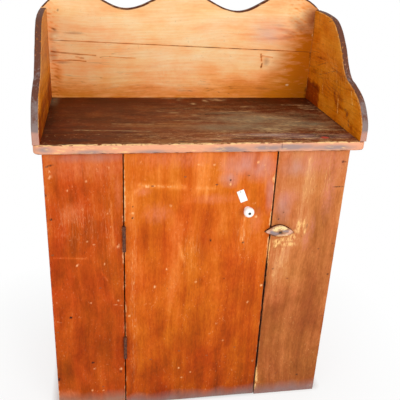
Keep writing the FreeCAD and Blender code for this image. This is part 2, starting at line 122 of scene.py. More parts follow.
def blank_material(name, **shader_values):
    """A new material, its tree, its shader with the shader's own sockets set, and the place on
    the piece, which every pattern starts from."""
    material = bpy.data.materials.new(name)
    tree = blank_tree(material)
    sockets = {key.replace("_", " "): value for key, value in shader_values.items()}
    shader = add(tree, "ShaderNodeBsdfPrincipled", sockets)
    add(tree, "ShaderNodeOutputMaterial", {"Surface": shader.outputs[0]})
    return material, tree, shader, add(tree, "ShaderNodeTexCoord").outputs["Object"]


NOISE_ROUGHNESS = 0.55


def spaced_noise(tree, place, spacing, detail, seed=0.0):
    """Noise whose lumps are about spacing millimetres apart along each axis."""
    scale = [1 / (length * MM) for length in spacing]
    stretched = add(tree, "ShaderNodeMapping",
                    {"Vector": place, "Location": (seed, 2 * seed, 3 * seed), "Scale": scale})
    noise = add(tree, "ShaderNodeTexNoise",
                {"Vector": stretched.outputs[0], "Scale": 1.0, "Detail": detail,
                 "Roughness": NOISE_ROUGHNESS})
    return noise.outputs[0]


def bump(tree, shader, height, strength, depth):
    """Raises the shader's surface by a height pattern, as deep as given in millimetres."""
    raised = add(tree, "ShaderNodeBump",
                 {"Strength": strength, "Distance": depth * MM, "Height": height})
    tree.links.new(raised.outputs[0], shader.inputs["Normal"])


# The pine's patterns: their spacing in millimetres across the grain and along it, and how many
# finer layers of noise they hold.
PINE_LAYERS = {
    "band": (30, 620, 2),
    "streak": (11, 230, 2),
    "fibre": (2.6, 60, 3),
    "fleck": (4, 13, 4),
    "blotch": (45, 75, 4),
}
BEND_SPACING, BEND_REACH = (160, 160, 420), 60      # how the grain bends along a board
WAVE_PERIOD = math.pi / 10      # metres between the rings of a wave of scale 1
RING_SPACING = 9.0
RING_RAGGEDNESS = {"Distortion": 5.0, "Detail": 3.0, "Detail Scale": 0.4}
LOG_DEPTH, LOG_SLOPE = 50, 4    # the log's middle, off the board's, and its slope in degrees
TINT_SPACING, TINT_LEVELS, TINT_HUES = (60, 60, 160), (0.3, 0.7), (0.495, 0.505)
SPECK_SPACING, SPECK_LEVELS = (5, 5, 7), (0.65, 0.72)
CROWD_LEVELS = (0.4, 0.65)      # of the blotches, between no specks and all of them
CHECK_SPACING, CHECK_WIDTH = (16, 16, 300), 0.012
SCRATCH_SPACING, SCRATCH_WIDTH = (5, 5, 90), 0.02
FIBRE_LIGHTS = (0.92, 1.08)     # the darkest and the lightest fibre
SHELLAC_SHINE = 0.1
BARE_DULLNESS, FLECK_DULLNESS = 0.3, 0.16
RELIEF_STRENGTH, RELIEF_DEPTH = 0.5, 0.3
CHECK_SINKING = -0.8            # beside fibres of 1

# What can cover the wood, in order: the noise that breaks each cover up, and its contrast.
COVERS = {"blush": ("rub", 2.5), "bloom": ("blotch", 3), "bare": ("rub", 7), "grime": ("rub", 5),
          "stain": ("blotch", 1.5)}
COVER_LEVELS = (0.1, 0.95)      # between none of the cover and all of it

BOARD_WEIGHTS = {"band": 0.42, "streak": 0.22, "fibre": 0.12, "fleck": 0.34, "blotch": 0.5,
                 "ring": 0.03}


def thin_lines(tree, place, spacing, tilt, width, seed):
    """Long thin lines: where a stretched noise passes its middle value, within the width. The
    tilt turns them about the board's thickness, in degrees."""
    turned = add(tree, "ShaderNodeMapping",
                 {"Vector": place, "Rotation": (0, math.radians(tilt), 0)}).outputs[0]
    noise = spaced_noise(tree, turned, spacing, 2, seed)
    away = calc(tree, "ABSOLUTE", calc(tree, "SUBTRACT", noise, 0.5))
    return remap(tree, away, (0, width), (1, 0), interpolation_type="SMOOTHSTEP")


def pine(name, grain, seed, tones, bare, grime, bloom, blush, stain="#B82C28",
         places=(0.3, 0.5, 0.75), weights=BOARD_WEIGHTS, gloss=0.42, figure_centre=0.0,
         breakup=(5, 12), scratch_tilt=0.0, specks=0.3):
    """Flat-sawn pine with its growth rings, streaks and fibres, under old thin shellac.

    grain names the axes across the grain, through the board and along the grain. The tone
    attribute shifts the wood lighter or darker along its five tones, and in places it carries
    painted light and shade. Others cover it with a colour: blush, where the shellac is worn thin
    and pinkish, and as deep golden painted shade on the gallery back; bloom, where it has gone
    milky, and as painted sheen, highlight and shade; bare, where it is rubbed off, grime, where
    dirt fills it, and stain, where mopping or damp has dulled it or red paint was dripped. check
    draws fine cracks and scratch draws scratches."""
    material, tree, shader, place = blank_material(name, Specular_IOR_Level=SHELLAC_SHINE)
    colours = {"blush": blush, "bloom": bloom, "bare": bare, "grime": grime, "stain": stain}
    axes = add(tree, "ShaderNodeSeparateXYZ", {0: place}).outputs
    board = add(tree, "ShaderNodeCombineXYZ",
                {i: axes[letter] for i, letter in enumerate(grain)}).outputs[0]
    bend = spaced_noise(tree, board, BEND_SPACING, 1, seed)
    drift = calc(tree, "MULTIPLY", bend, (BEND_REACH * MM, 0, 0), kind="VectorMath")
    bent = calc(tree, "ADD", board, drift, kind="VectorMath")

    across, along = breakup
    noises = {layer: spaced_noise(tree, bent, (wide, wide, long), detail, seed)
              for layer, (wide, long, detail) in PINE_LAYERS.items()}
    noises["rub"] = spaced_noise(tree, board, (across, across, along), 4, seed + 7)
    log = add(tree, "ShaderNodeMapping",
              {"Vector": bent, "Location": (-figure_centre * MM, LOG_DEPTH * MM, 0),
               "Rotation": (math.radians(LOG_SLOPE), 0, 0)})
    noises["ring"] = add(tree, "ShaderNodeTexWave",
                         {"Vector": log.outputs[0], "Scale": WAVE_PERIOD / (RING_SPACING * MM),
                          **RING_RAGGEDNESS},
                         wave_type="RINGS", rings_direction="Z", wave_profile="SIN").outputs[1]

    def amount(field):
        return add(tree, "ShaderNodeAttribute", attribute_name=field).outputs["Fac"]

    def cover(colour, share, over):
        return add(tree, "ShaderNodeMix", {0: share, 6: colour, 7: over},
                   data_type="RGBA").outputs[2]

    value = calc(tree, "ADD", amount("tone"), 0.5 - sum(weights.values()) / 2)
    for layer, weight in weights.items():
        value = calc(tree, "MULTIPLY_ADD", noises[layer], weight, value)
    colour = add(tree, "ShaderNodeValToRGB", {0: value}, stops=zip((0, *places, 1), tones)).outputs[0]
    hue = remap(tree, spaced_noise(tree, bent, TINT_SPACING, 2, seed + 5), TINT_LEVELS, TINT_HUES)
    colour = add(tree, "ShaderNodeHueSaturation", {"Color": colour, "Hue": hue}).outputs[0]

    crowd = remap(tree, noises["blotch"], CROWD_LEVELS, (0, specks))
    for field, shift in (("bare", 9), ("grime", 13)):
        dots = spaced_noise(tree, board, SPECK_SPACING, 2, seed + shift)
        share = calc(tree, "MULTIPLY", remap(tree, dots, SPECK_LEVELS), crowd)
        colour = cover(colour, share, colours[field])

    shares = {}
    for field, (noise, contrast) in COVERS.items():
        uneven = calc(tree, "MULTIPLY_ADD", noises[noise], contrast, 1 - contrast / 2)
        broken = calc(tree, "MULTIPLY", uneven, amount(field))
        shares[field] = remap(tree, broken, COVER_LEVELS)
        colour = cover(colour, shares[field], colours[field])

    checks = thin_lines(tree, bent, CHECK_SPACING, 0, CHECK_WIDTH, seed + 17)
    scratches = thin_lines(tree, board, SCRATCH_SPACING, scratch_tilt, SCRATCH_WIDTH, seed + 19)
    for field, lines, over in (("check", checks, "grime"), ("scratch", scratches, "bare")):
        share = calc(tree, "MULTIPLY", lines, amount(field))
        colour = cover(colour, share, colours[over])

    lights = remap(tree, noises["fibre"], (0, 1), FIBRE_LIGHTS)
    colour = add(tree, "ShaderNodeVectorMath", {0: colour, "Scale": lights}, operation="SCALE")
    tree.links.new(colour.outputs[0], shader.inputs["Base Color"])

    dull = calc(tree, "MULTIPLY_ADD", shares["bare"], BARE_DULLNESS, gloss)
    rough = calc(tree, "MULTIPLY_ADD", noises["fleck"], FLECK_DULLNESS, dull)
    tree.links.new(rough, shader.inputs["Roughness"])
    height = calc(tree, "MULTIPLY_ADD", checks, CHECK_SINKING, noises["fibre"])
    bump(tree, shader, height, RELIEF_STRENGTH, RELIEF_DEPTH)
    return material


# ---- finishes ----

# Flat-sawn white pine, planed by hand, stained red and shellacked: warm, streaky and a little
# glossy, with the shine gone where hands and knees have rubbed it. On the three front boards the
# pale pinkish bloom colour is a painted sheen.
door_pine = pine(
    "shellacked_pine_door", "XYZ", 3.0, figure_centre=-65.0, places=(0.3, 0.5, 0.72),
    tones=("#702600", "#AE4602", "#CA5E0E", "#E07A2E", "#EA9452"),
    bare="#F2B478", grime="#3C1A0E", bloom="#C4928A", blush="#DC7C54", stain="#8A7672")
left_pine = pine(
    "shellacked_pine_left", "XYZ", 11.0, figure_centre=-300.0,
    tones=("#6C2400", "#9E3C00", "#BC4C0A", "#D26C2C", "#E29458"),
    bare="#E8A06C", grime="#3A1C14", bloom="#AE7C70", blush="#D87648", stain="#9E7460")
right_pine = pine(
    "shellacked_pine_right", "XYZ", 23.0, figure_centre=330.0,
    tones=("#763612", "#A25626", "#C06E3A", "#D08A58", "#E0AC7E"),
    bare="#F0BC78", grime="#4A2A1E", bloom="#BA908A", blush="#CC7C66", stain="#90726E")
side_pine = pine(
    "shellacked_pine_sides", "YXZ", 31.0, figure_centre=40.0,
    tones=("#742A08", "#A04212", "#BC5820", "#CE7A3C", "#E0A468"),
    bare="#DDA070", grime="#3A1C14", bloom="#96685A", blush="#C87A5A")

# The same pine under many coats of dark varnish, scrubbed through to grey wood where work was
# done, and grey at the front right partly as a painted sheen: nearly black-brown, with long pale
# scrub marks.
top_finish = partial(
    pine, places=(0.35, 0.6, 0.85), tones=("#300E04", "#5C2008", "#844018", "#9C663A", "#BE9460"),
    weights={"band": 0.34, "streak": 0.22, "fibre": 0.1, "fleck": 0.5, "blotch": 0.66,
             "ring": 0.03})
top_pine = top_finish(
    "dark_varnished_pine", "YZX", 41.0, breakup=(6, 18), gloss=0.36, specks=0.5,
    bare="#BC9A6C", grime="#220C06", bloom="#7C7058", blush="#C8905A")
# The front board: its arris rubbed to pale wood, pinkish old finish on the edge below it, and a
# drip of red paint.
top_front_pine = top_finish(
    "dark_varnished_pine_front_edge", "YZX", 43.0, gloss=0.4, specks=0.7,
    bare="#F0C488", grime="#40201A", bloom="#A28882", blush="#E4A07C", stain="#B82C28")

# Clear shellac over pine that has yellowed with age: honey coloured, with level streaks. Its deep
# golden colour at the right end and along the foot, and its reddish brown in the top right
# corner, are painted shade, where the right gallery side and the top shade it.
gallery_back_pine = pine(
    "honey_shellacked_pine_back", "ZYX", 53.0, places=(0.3, 0.5, 0.72), breakup=(12, 50),
    tones=("#AC5412", "#EC8A3E", "#FFAE68", "#FFCA8E", "#FFE2B2"), specks=0.2, scratch_tilt=80.0,
    weights={"band": 0.3, "streak": 0.3, "fibre": 0.14, "fleck": 0.16, "blotch": 0.6,
             "ring": 0.03},
    bare="#FFDCA8", grime="#5C280E", bloom="#9A4E2A", blush="#DA7C0E", stain="#E6B29C")
gallery_side_pine = pine(
    "honey_shellacked_pine_sides", "ZXY", 61.0, places=(0.25, 0.5, 0.75), breakup=(5, 14),
    tones=("#5A2000", "#963C00", "#D67A06", "#EC9A2C", "#F4BC68"), scratch_tilt=-62.0,
    weights={"band": 0.3, "streak": 0.3, "fibre": 0.15, "fleck": 0.3, "blotch": 0.6,
             "ring": 0.03},
    bare="#F8C070", grime="#6A4030", bloom="#867470", blush="#BE8C7A")

# Whittled hardwood, stained dark, with pale facets where fingers have rubbed it, and a grey painted
# sheen across its face.
button_wood = pine(
    "whittled_button_wood", "ZYX", 67.0, breakup=(2, 6), gloss=0.35,
    tones=("#4A2414", "#7A4A30", "#9A6C4C", "#B88A68", "#D0A880"),
    weights={"streak": 0.4, "fibre": 0.4, "blotch": 0.3},
    bare="#F6D69A", grime="#4A2014", bloom="#948284", blush="#DCA890")

# Pine that never had a finish, browned by air and handling: dry, dull and even.
inside_finish = partial(
    pine, places=(0.3, 0.52, 0.78), tones=("#5A3A20", "#8A6238", "#A67C4C", "#BC9464", "#D0AE80"),
    gloss=0.62, bare="#C8A878", grime="#3A2818", bloom="#8A7460", blush="#B08460")
inside_pine_level = inside_finish("unfinished_pine_level", "YZX", 71.0)
inside_pine_across = inside_finish("unfinished_pine_across", "ZYX", 83.0)
inside_pine_cleat = inside_finish("unfinished_pine_cleat", "XZY", 89.0)


def mottled(name, dark, light, levels, spacing, detail, **shader_values):
    """A material that goes from dark to light between two levels of a noise, and its nodes."""
    material, tree, shader, place = blank_material(name, **shader_values)
    mottle = spaced_noise(tree, place, spacing, detail)
    colour = add(tree, "ShaderNodeValToRGB", {0: mottle}, stops=zip(levels, (dark, light)))
    tree.links.new(colour.outputs[0], shader.inputs["Base Color"])
    return material, tree, shader, place, mottle


def metal(name, dark, light, rough, metallic, lump):
    """Old iron or steel: two close tones in lumps of a few millimetres, pitted by rust."""
    material, tree, shader, place, _ = mottled(name, dark, light, (0.35, 0.65), (lump,) * 3, 4,
                                               Metallic=metallic)
    pits = spaced_noise(tree, place, (1.2, 1.2, 1.2), 3)
    tree.links.new(calc(tree, "MULTIPLY_ADD", pits, 0.3, rough), shader.inputs["Roughness"])
    bump(tree, shader, pits, 0.5, 0.2)
    return material


# Cast iron, rusted and stained over with the case: dark brown with a dull sheen.
hinge_iron = metal("stained_cast_iron", "#3E1C0E", "#6E3A20", 0.45, 0.1, 7)
# Iron nails, driven flush and stained over: nearly the colour of the wood.
nail_iron = metal("rusted_cut_iron", "#7A3812", "#A8561E", 0.55, 0.1, 3)
# Plain steel screws and bolt, gone grey-brown.
dull_steel = metal("darkened_steel", "#2E2622", "#6A5C52", 0.35, 0.7, 3)
# The tag's tack: tinned, so it stays pale grey.
tinned_steel = metal("tinned_steel", "#B4AEA4", "#DCD8D0", 0.4, 0.2, 3)


def porcelain():
    """Glazed white china: hard bright gloss over a faintly uneven warm white."""
    material, tree, shader, _, cloud = mottled(
        "glazed_porcelain", "#F6F5F0", "#FDFCFA", (0.3, 0.7), (9, 9, 9), 2, Roughness=0.12,
        Coat_Weight=0.4, Coat_Roughness=0.05, IOR=1.5)
    bump(tree, shader, cloud, 0.2, 0.1)
    return material


def card():
    """White card: matt, with faint fibres."""
    return mottled("white_card", "#F2F1EC", "#FCFCFA", (0.3, 0.7), (1.5, 1.5, 0.6), 4,
                   Roughness=0.85, Specular_IOR_Level=0.2)[0]


# ---- shapes ----

WANDER_WAVES, WANDER_SPREAD = 8, 2.2    # how many waves, and how quick they are per unit
FINE_STEP = 0.5                 # along an outline while it is blunted
SWELLING_SPACING = 45           # between the swellings of an arris
CORNER_STEPS = 8                # around a rounded corner
SAME_FACE, APART = 0.05, 0.25   # how near points of one face lie, and how far apart on its edge
END_REACH = 0.1                 # from a board's end to the points that belong to it
ARRIS_TURNS = np.radians([0, 18, 36, 54, 72, 90])
AXES = {"X": 0, "Y": 1, "Z": 2}
FINISH_FIELDS = ("tone", "bloom", "blush", "bare", "grime", "stain", "check", "scratch")


def ramp(x, start, end):
    """0 up to the start and 1 from the end on, with a straight rise between them. The end may lie
    on either side of the start."""
    return np.clip((x - start) / (end - start), 0, 1)


def hump(x, middle, half_width):
    """1 in the middle, falling off softly on both sides."""
    return np.exp(-((x - middle) / half_width) ** 2)


def most(*shares):
    """The greatest of the shares at each place."""
    return reduce(np.maximum, shares)


def wander(seed, *coordinates):
    """A slow random wander, mostly between -1 and 1: the sum of sine waves, each with its own
    seeded direction and phase."""
    rng = np.random.default_rng(seed)
    total = 0.0
    for _ in range(WANDER_WAVES):
        phase = rng.uniform(0, 2 * math.pi)
        total = total + np.sin(phase + sum(c * rng.normal(0, WANDER_SPREAD) for c in coordinates))
    return 2 * total / WANDER_WAVES


def spots(u, v, *marks):
    """How far soft oval marks cover each place, from 0 to 1. A mark is its middle, its half
    width, its half height, if it differs, and its tilt in degrees, if it has one."""
    cover = np.zeros_like(u)
    for mark_u, mark_v, half_u, *rest in marks:
        half_v, tilt = (*rest, 0)[:2] if rest else (half_u, 0)
        c, s = math.cos(math.radians(tilt)), math.sin(math.radians(tilt))
        across = ((u - mark_u) * c + (v - mark_v) * s) / half_u
        along = ((v - mark_v) * c - (u - mark_u) * s) / half_v
        cover = np.maximum(cover, np.exp(-across ** 2 - along ** 2))
    return cover


def strokes(u, v, *lines):
    """How far soft strokes cover each place, from 0 to 1: by the distance to the nearest stretch
    between two points. A stroke is its half width and the points that it runs through."""
    cover = np.zeros_like(u)
    for half_width, *points in lines:
        for (u0, v0), (u1, v1) in zip(points, points[1:]):
            run = (u1 - u0) ** 2 + (v1 - v0) ** 2
            share = np.clip(((u - u0) * (u1 - u0) + (v - v0) * (v1 - v0)) / run, 0, 1)
            away = np.hypot(u - u0 - share * (u1 - u0), v - v0 - share * (v1 - v0))
            cover = np.maximum(cover, hump(away, 0, half_width))
    return cover


def planed(seed, depth=0.35, scallop=42.0):
    """Relief of a hand-planed face: shallow hollows side by side, as wide as the plane's iron,
    which wander a little along the board."""
    def relief(u, v):
        sway = 6 * wander(seed, u / 300, v / 300)
        hollow = 0.5 + 0.3 * np.cos(2 * math.pi * (u + sway) / scallop)
        return depth * np.maximum(hollow + 0.2 * wander(seed + 1, u / 60, v / 90), 0)
    return relief


def line_length(line):
    """The length of a line through points."""
    return np.hypot(*np.diff(line, axis=0).T).sum()


def blunted_outline(edges, counts, radii, uneven):
    """Points, inward directions and arris radii along an outline of four edges, anticlockwise.
    Each value is a running average along the outline, over twice the greatest arris radius,
    which rounds the corners and leaves straight stretches where they are. The radius swells and
    shrinks along the outline by the uneven share of itself."""
    line = np.concatenate([edge[:-1] for edge in edges] + [edges[0][:1]])
    run = np.r_[0, np.cumsum(np.hypot(*np.diff(line, axis=0).T))]
    fine = np.arange(0, run[-1], FINE_STEP)
    ends = np.cumsum([line_length(edge) for edge in edges])
    radius = np.array(radii, float)[np.searchsorted(ends, fine, side="right").clip(0, 3)]
    radius *= 1 + uneven * wander(len(fine), fine / SWELLING_SPACING)
    values = np.column_stack([*(np.interp(fine, run, column) for column in line.T), radius])
    width = max(int(2 * max(radii) / FINE_STEP), 3)
    window = np.zeros(len(fine))
    window[:width] = np.hanning(width + 2)[1:-1]
    window = np.roll(window / window.sum(), -(width // 2))
    values = np.fft.ifft(np.fft.fft(values, axis=0) * np.fft.fft(window)[:, None], axis=0).real
    ahead = np.roll(values[:, :2], -2, axis=0) - np.roll(values[:, :2], 2, axis=0)
    ahead /= np.hypot(*ahead.T)[:, None]
    values = np.column_stack([values, -ahead[:, 1], ahead[:, 0]])
    stations = np.concatenate([np.linspace(start, end, count)[:-1]
                               for start, end, count in zip(np.r_[0, ends[:-1]], ends, counts)])
    sampled = [np.interp(stations, fine, column, period=run[-1]) for column in values.T]
    return np.column_stack(sampled[:2]), np.column_stack(sampled[3:]), sampled[2]


def patch(ring, across, up):
    """A grid between four edges: the sum of the two ruled surfaces between opposite edges, less
    the twisted plane through the four corners."""
    foot = ring[:across]
    far = ring[across - 1:across + up - 1]
    top = ring[across + up - 2:2 * across + up - 2][::-1]
    near = np.concatenate([ring[2 * across + up - 3:], ring[:1]])[::-1]
    s = np.linspace(0, 1, across)[None, :, None]
    t = np.linspace(0, 1, up)[:, None, None]
    ruled = (1 - t) * foot[None] + t * top[None] + (1 - s) * near[:, None] + s * far[:, None]
    corners = ((1 - s) * (1 - t) * foot[0] + s * (1 - t) * foot[-1]
               + (1 - s) * t * top[0] + s * t * top[-1])
    return ruled - corners


def grid_rim(grid):
    """The numbers of a grid's points that lie on its rim, anticlockwise."""
    return np.concatenate([grid[0, :-1], grid[:-1, -1], grid[-1, :0:-1], grid[:0:-1, 0]])


def grid_quads(grid):
    """The faces between the points of a grid."""
    return np.stack([grid[:-1, :-1], grid[:-1, 1:], grid[1:, 1:], grid[1:, :-1]],
                    axis=-1).reshape(-1, 4)


def band_quads(rings):
    """The faces between rings of point numbers, each ring joined to the next one."""
    beside = np.roll(rings, -1, axis=1)
    return np.stack([rings[:-1], rings[1:], beside[1:], beside[:-1]], axis=-1).reshape(-1, 4)


def skin_quads(across, up, rings):
    """The faces of a closed skin: a grid, rings of points as long as its rim, and another grid."""
    size = across * up
    around = 2 * (across + up) - 4
    front = np.arange(size).reshape(up, across)
    rest = size + rings * around + front
    loops = size + np.arange(rings * around).reshape(rings, around)
    band = band_quads(np.concatenate([grid_rim(front)[None], loops, grid_rim(rest)[None]]))
    return np.concatenate([grid_quads(front), band, grid_quads(rest)[:, ::-1]])


def write_mesh(name, points, quads, material, fields=None):
    """A smooth mesh from points in millimetres, with a value per point in each named field."""
    mesh = bpy.data.meshes.new(name)
    mesh.from_pydata((points * MM).tolist(), [], quads.tolist())
    mesh.polygons.foreach_set("use_smooth", np.ones(len(quads), bool))
    for field, values in (fields or {}).items():
        mesh.attributes.new(field, "FLOAT", "POINT").data.foreach_set(
            "value", values.astype(np.float32))
    mesh.materials.append(material)
    piece = bpy.data.objects.new(name, mesh)
    bpy.context.scene.collection.objects.link(piece)
    return piece


def stand_for(piece, node):
    """The piece takes the node's place and rides on its body."""
    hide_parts(node)
    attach(piece, body_of[node])


def finish_fields(wear, *place):
    """The fields that pine reads, all 0 unless the wear gives them."""
    fields = {field: np.zeros_like(place[0]) for field in FINISH_FIELDS}
    if wear is not None:
        fields.update(wear(*place))
    return fields


def small_piece(node, look, points, quads, material, fields=None):
    """A small piece in the node's place, welded at its seams and poles, with its faces turned
    outwards."""
    piece = write_mesh(f"{node}_{look}", points, quads, material, fields)
    made = bmesh.new()
    made.from_mesh(piece.data)
    bmesh.ops.remove_doubles(made, verts=made.verts, dist=1e-6)
    bmesh.ops.recalc_face_normals(made, faces=made.faces)
    made.to_mesh(piece.data)
    made.free()
    stand_for(piece, node)


def board(node, edges, lie, faces, arris, material, spacing=4.0, relief=None, wear=None,
          back_arris=0.6, uneven=0.15, rows=2):
    """A worn board in the node's place: a closed skin over an outline that is given as its foot,
    far, top and near edges in the plane of the first two axes of lie.

    Each face is a grid between the four edges. The arrises turn a quarter circle of the radius
    of that edge, or back_arris times that at the back, with rows of points between them, and
    every face sinks by the relief, which is worked out from the place on the board. Wear gives
    the fields of the finish from the place, its distance from the outline, its turn, which is 0
    on the show face, 1 on the edge and 2 on the back, and its depth under the show face."""
    foot, far, top, near = edges
    across, up = (max(int(max(line_length(one), line_length(other)) / spacing), 2) + 1
                  for one, other in ((foot, top), (far, near)))
    outline, inward, radius = blunted_outline((foot, far, top[::-1], near[::-1]),
                                              (across, up, across, up), arris, uneven)
    show, back = faces
    thickness = abs(back - show)
    deeper = np.sign(back - show)

    def rounding(size):
        """Rings over an arris: place, depth under its face, distance from the outline, turn."""
        for turn in ARRIS_TURNS:
            inset = size * (1 - math.sin(turn))
            yield (outline + inward * inset[:, None], size * (1 - math.cos(turn)), inset,
                   turn / ARRIS_TURNS[-1])

    rings = list(rounding(radius))
    for share in np.linspace(0, 1, rows + 2)[1:-1]:
        depth = radius * (1 - share) + (thickness - radius * back_arris) * share
        rings.append((outline, depth, 0 * radius, 1.0))
    rings += [(place, thickness - depth, inset, 2 - turn)
              for place, depth, inset, turn in reversed(list(rounding(radius * back_arris)))]

    for end, depth, turn in ((0, 0.0, 0.0), (-1, thickness, 2.0)):
        grid = patch(rings[end][0], across, up)
        spans = [np.linalg.norm(grid - side, axis=2)
                 for side in (grid[:1], grid[-1:], grid[:, :1], grid[:, -1:])]
        rim = np.minimum.reduce(spans).ravel() + min(arris)
        rings[end] = (grid.reshape(-1, 2), np.full(rim.size, depth), rim, turn)
    place, depth, rim = (np.concatenate([ring[i] for ring in rings]) for i in range(3))
    turn = np.concatenate([np.full(len(ring[0]), ring[3]) for ring in rings])
    u, v = place.T
    fields = finish_fields(wear, u, v, rim, turn, depth)
    if relief is not None:
        depth = depth + relief(u, v) * np.cos(turn * math.pi / 2)

    points = np.zeros((len(u), 3))
    basis = np.zeros((3, 3))
    places = (u, v, show + deeper * depth)
    for i, (letter, values, sign) in enumerate(zip(lie, places, (1, 1, deeper))):
        points[:, AXES[letter]] = values
        basis[i, AXES[letter]] = sign
    quads = skin_quads(across, up, len(rings) - 2)
    if np.linalg.det(basis) > 0:
        quads = quads[:, ::-1]
    stand_for(write_mesh(f"{node}_worn", points, quads, material, fields), node)


def edges_between(foot, top):
    """The foot, far, top and near edges of a board whose two ends are straight."""
    return foot, np.array([foot[-1], top[-1]]), top, np.array([foot[0], top[0]])


def plain_board(node, lie, show_low, arris, material, foot_corner=0.0, **more):
    """A board over a node's box, with square corners or with the foot's two corners rounded. Its
    show face is at the low end of the thickness axis, or else at the high end."""
    low, high = node_box(node)
    u, v, w = (AXES[letter] for letter in lie)
    foot, top = (np.array([[low[u], height], [high[u], height]]) for height in (low[v], high[v]))
    if foot_corner:
        turn = np.linspace(0, math.pi / 2, CORNER_STEPS + 1)
        arc = foot_corner * np.column_stack([1 - np.cos(turn), 1 - np.sin(turn)])
        foot = np.concatenate([foot[0] + arc, (foot[1] + arc * (-1, 1))[::-1]])
    faces = (low[w], high[w]) if show_low else (high[w], low[w])
    board(node, edges_between(foot, top), lie, faces, arris, material, **more)


def drawn_edge(node, u_axis, v_axis, above):
    """The points above a height on the outline of a scrolled board's lower face, as its node
    has them, in order along u, with none that repeats the one before."""
    points = node_points(node)
    through = points[:, 3 - AXES[u_axis] - AXES[v_axis]]
    flat = points[through < through.min() + SAME_FACE][:, [AXES[u_axis], AXES[v_axis]]]
    flat = flat[flat[:, 1] > above]
    flat = flat[np.lexsort((flat[:, 1], flat[:, 0]))]
    apart = np.hypot(*np.diff(flat, axis=0).T) > APART
    return flat[np.r_[True, apart]]


# ---- the case and the door ----

def front_wear(seed, painted_light_by_height, lighter, darker, chips, pale, scratches, scraped, holes,
               haze_and_sheen, blush, rubbed, dirty=(), mopped_height=54):
    """Wear of a front board, with painted light: a tone that follows the height and makes the board
    lighter towards the top as a painted sheen, lighter flecked places and darker ones, pale chips,
    soft pale bands, scratches and scraped places, dark holes, pinkish patches, pale hazy patches
    that are mostly a painted sheen, a grey band of mopping up to a height over the floor, and pale
    arrises, rubbed more in some places, where the door's right arris is also a painted highlight,
    and filled with dirt in others."""
    def wear(u, v, rim, turn, down):
        mark, line = partial(spots, u, v), partial(strokes, u, v)
        # The rubbed marks make the pale arris stronger; on the door's right arris this is wear and
        # also a painted highlight.
        edge = hump(rim, 0, 2.4) * (0.2 + 0.26 * wander(seed, u / 22, v / 22) + 1.2 * mark(*rubbed))
        show = turn < 0.9
        # The tone by height makes the board lighter towards the top and darker towards the floor:
        # painted sheen and light from above.
        height, tone = np.array(painted_light_by_height, float).T
        mopped = ramp(v - 8 * wander(seed + 2, u / 30), mopped_height, mopped_height - 46)
        light = show * mark(*lighter)
        return {
            "tone": (np.interp(v, height, tone) + 0.11 * light - 0.11 * mark(*darker)
                     + 0.17 * line(*pale) - 0.14 * ramp(turn, 0, 1)),
            "bare": most(0.7 * show * mark(*chips), 0.4 * show * line(*scratches), 0.1 * light,
                         0.12 * show * line(*pale), edge),
            "grime": (1.1 * show * mark(*holes) + 0.2 * (turn > 1.5) + 0.1 * mopped
                      + 1.2 * line(*dirty)),
            # The hazy patches are a painted sheen, mostly near the top.
            "bloom": 0.46 * show * mark(*haze_and_sheen),
            "stain": 0.82 * mopped ** 1.3,
            "blush": 0.45 * show * mark(*blush),
            "scratch": 0.55 * show * mark(*scraped),
        }
    return wear


# Places on the boards, across and up from the middle of the floor under the case.
door_wear = front_wear(
    seed=5,
    # Lighter towards the top: painted light.
    painted_light_by_height=((0, -0.3), (50, -0.24), (90, -0.19), (380, -0.1), (560, -0.02), (700, 0.02),
        (824, 0.07)),
    lighter=((-184, 420, 12, 300), (-186, 660, 14, 90), (-7, 760, 26, 70), (-53, 525, 9, 26, 12),
        (-35, 545, 5, 20, -20), (118, 600, 14, 50), (-75, 420, 30, 90), (60, 600, 10, 60)),
    darker=((-33, 770, 9, 50), (2, 438, 12, 14, 20), (60, 560, 8, 70), (90, 300, 10, 90),
        (-150, 560, 16, 60), (150, 470, 24, 50), (60, 110, 60), (-120, 90, 30, 50),
        (145, 440, 40, 100), (155, 40, 36, 90), (20, 640, 30, 40)),
    chips=((-160, 796, 4.5, 5, -20), (-147, 731, 7, 4), (-16, 788, 2.5), (26, 787, 2.5),
        (143, 791, 3, 4), (164, 771, 3, 2.5), (162, 784, 3, 2.4), (188, 744, 2.4, 9), (73, 731, 3, 4),
        (-85, 674, 3, 4, 20), (-187, 655, 7, 3), (142, 674, 4, 3), (148, 633, 6, 4, -30),
        (-92, 479, 3, 3.5), (-124, 423, 3, 5), (185, 410, 3.5, 4), (-8, 433, 3), (149, 355, 3, 4),
        (-48, 129, 3), (-12, 110, 3), (-38, 91, 3), (-181, 294, 3), (57, 285, 3), (82, 221, 3),
        (181, 136, 3, 4), (-196, 330, 3, 4), (-40, 356, 2.5, 3)),
    pale=((7, (-166, 735), (-140, 732), (-101, 728), (-49, 725)), (6, (-16, 722), (31, 720)),
        (5, (-179, 716), (-160, 730)), (6, (118, 640), (114, 560)), (3, (-60, 560), (-44, 500)),
        (4, (8, 724), (10, 690))),
    scratches=((1.8, (-158, 734), (-84, 727)), (1.8, (118, 560), (122, 600))),
    scraped=((120, 585, 20, 60), (-184, 400, 9, 330), (-30, 530, 30, 50)),
    holes=((72, 743, 2.4), (27, 565, 3, 4), (-186, 641, 2.5), (-186, 674, 2.5), (74, 440, 2.5),
        (120, 554, 4, 2.5)),
    # Painted sheen towards the door's top right.
    haze_and_sheen=((112, 788, 62, 40), (150, 776, 50, 40), (70, 745, 26, 24), (182, 700, 16, 60),
        (141, 794, 5, 7), (163, 772, 5, 4), (71, 735, 5, 7)),
    blush=((-159, 716, 24, 14), (-120, 650, 40, 30), (60, 770, 20, 30), (150, 620, 20, 40),
        (30, 690, 60, 16), (-60, 806, 130, 26)),
    # The first two brighten the door's right arris: wear and a painted highlight.
    rubbed=((193, 585, 10, 75), (193, 735, 8, 20), (-206, 700, 6, 60)),
    dirty=((1.9, (193.2, 0), (193.2, 500)),))
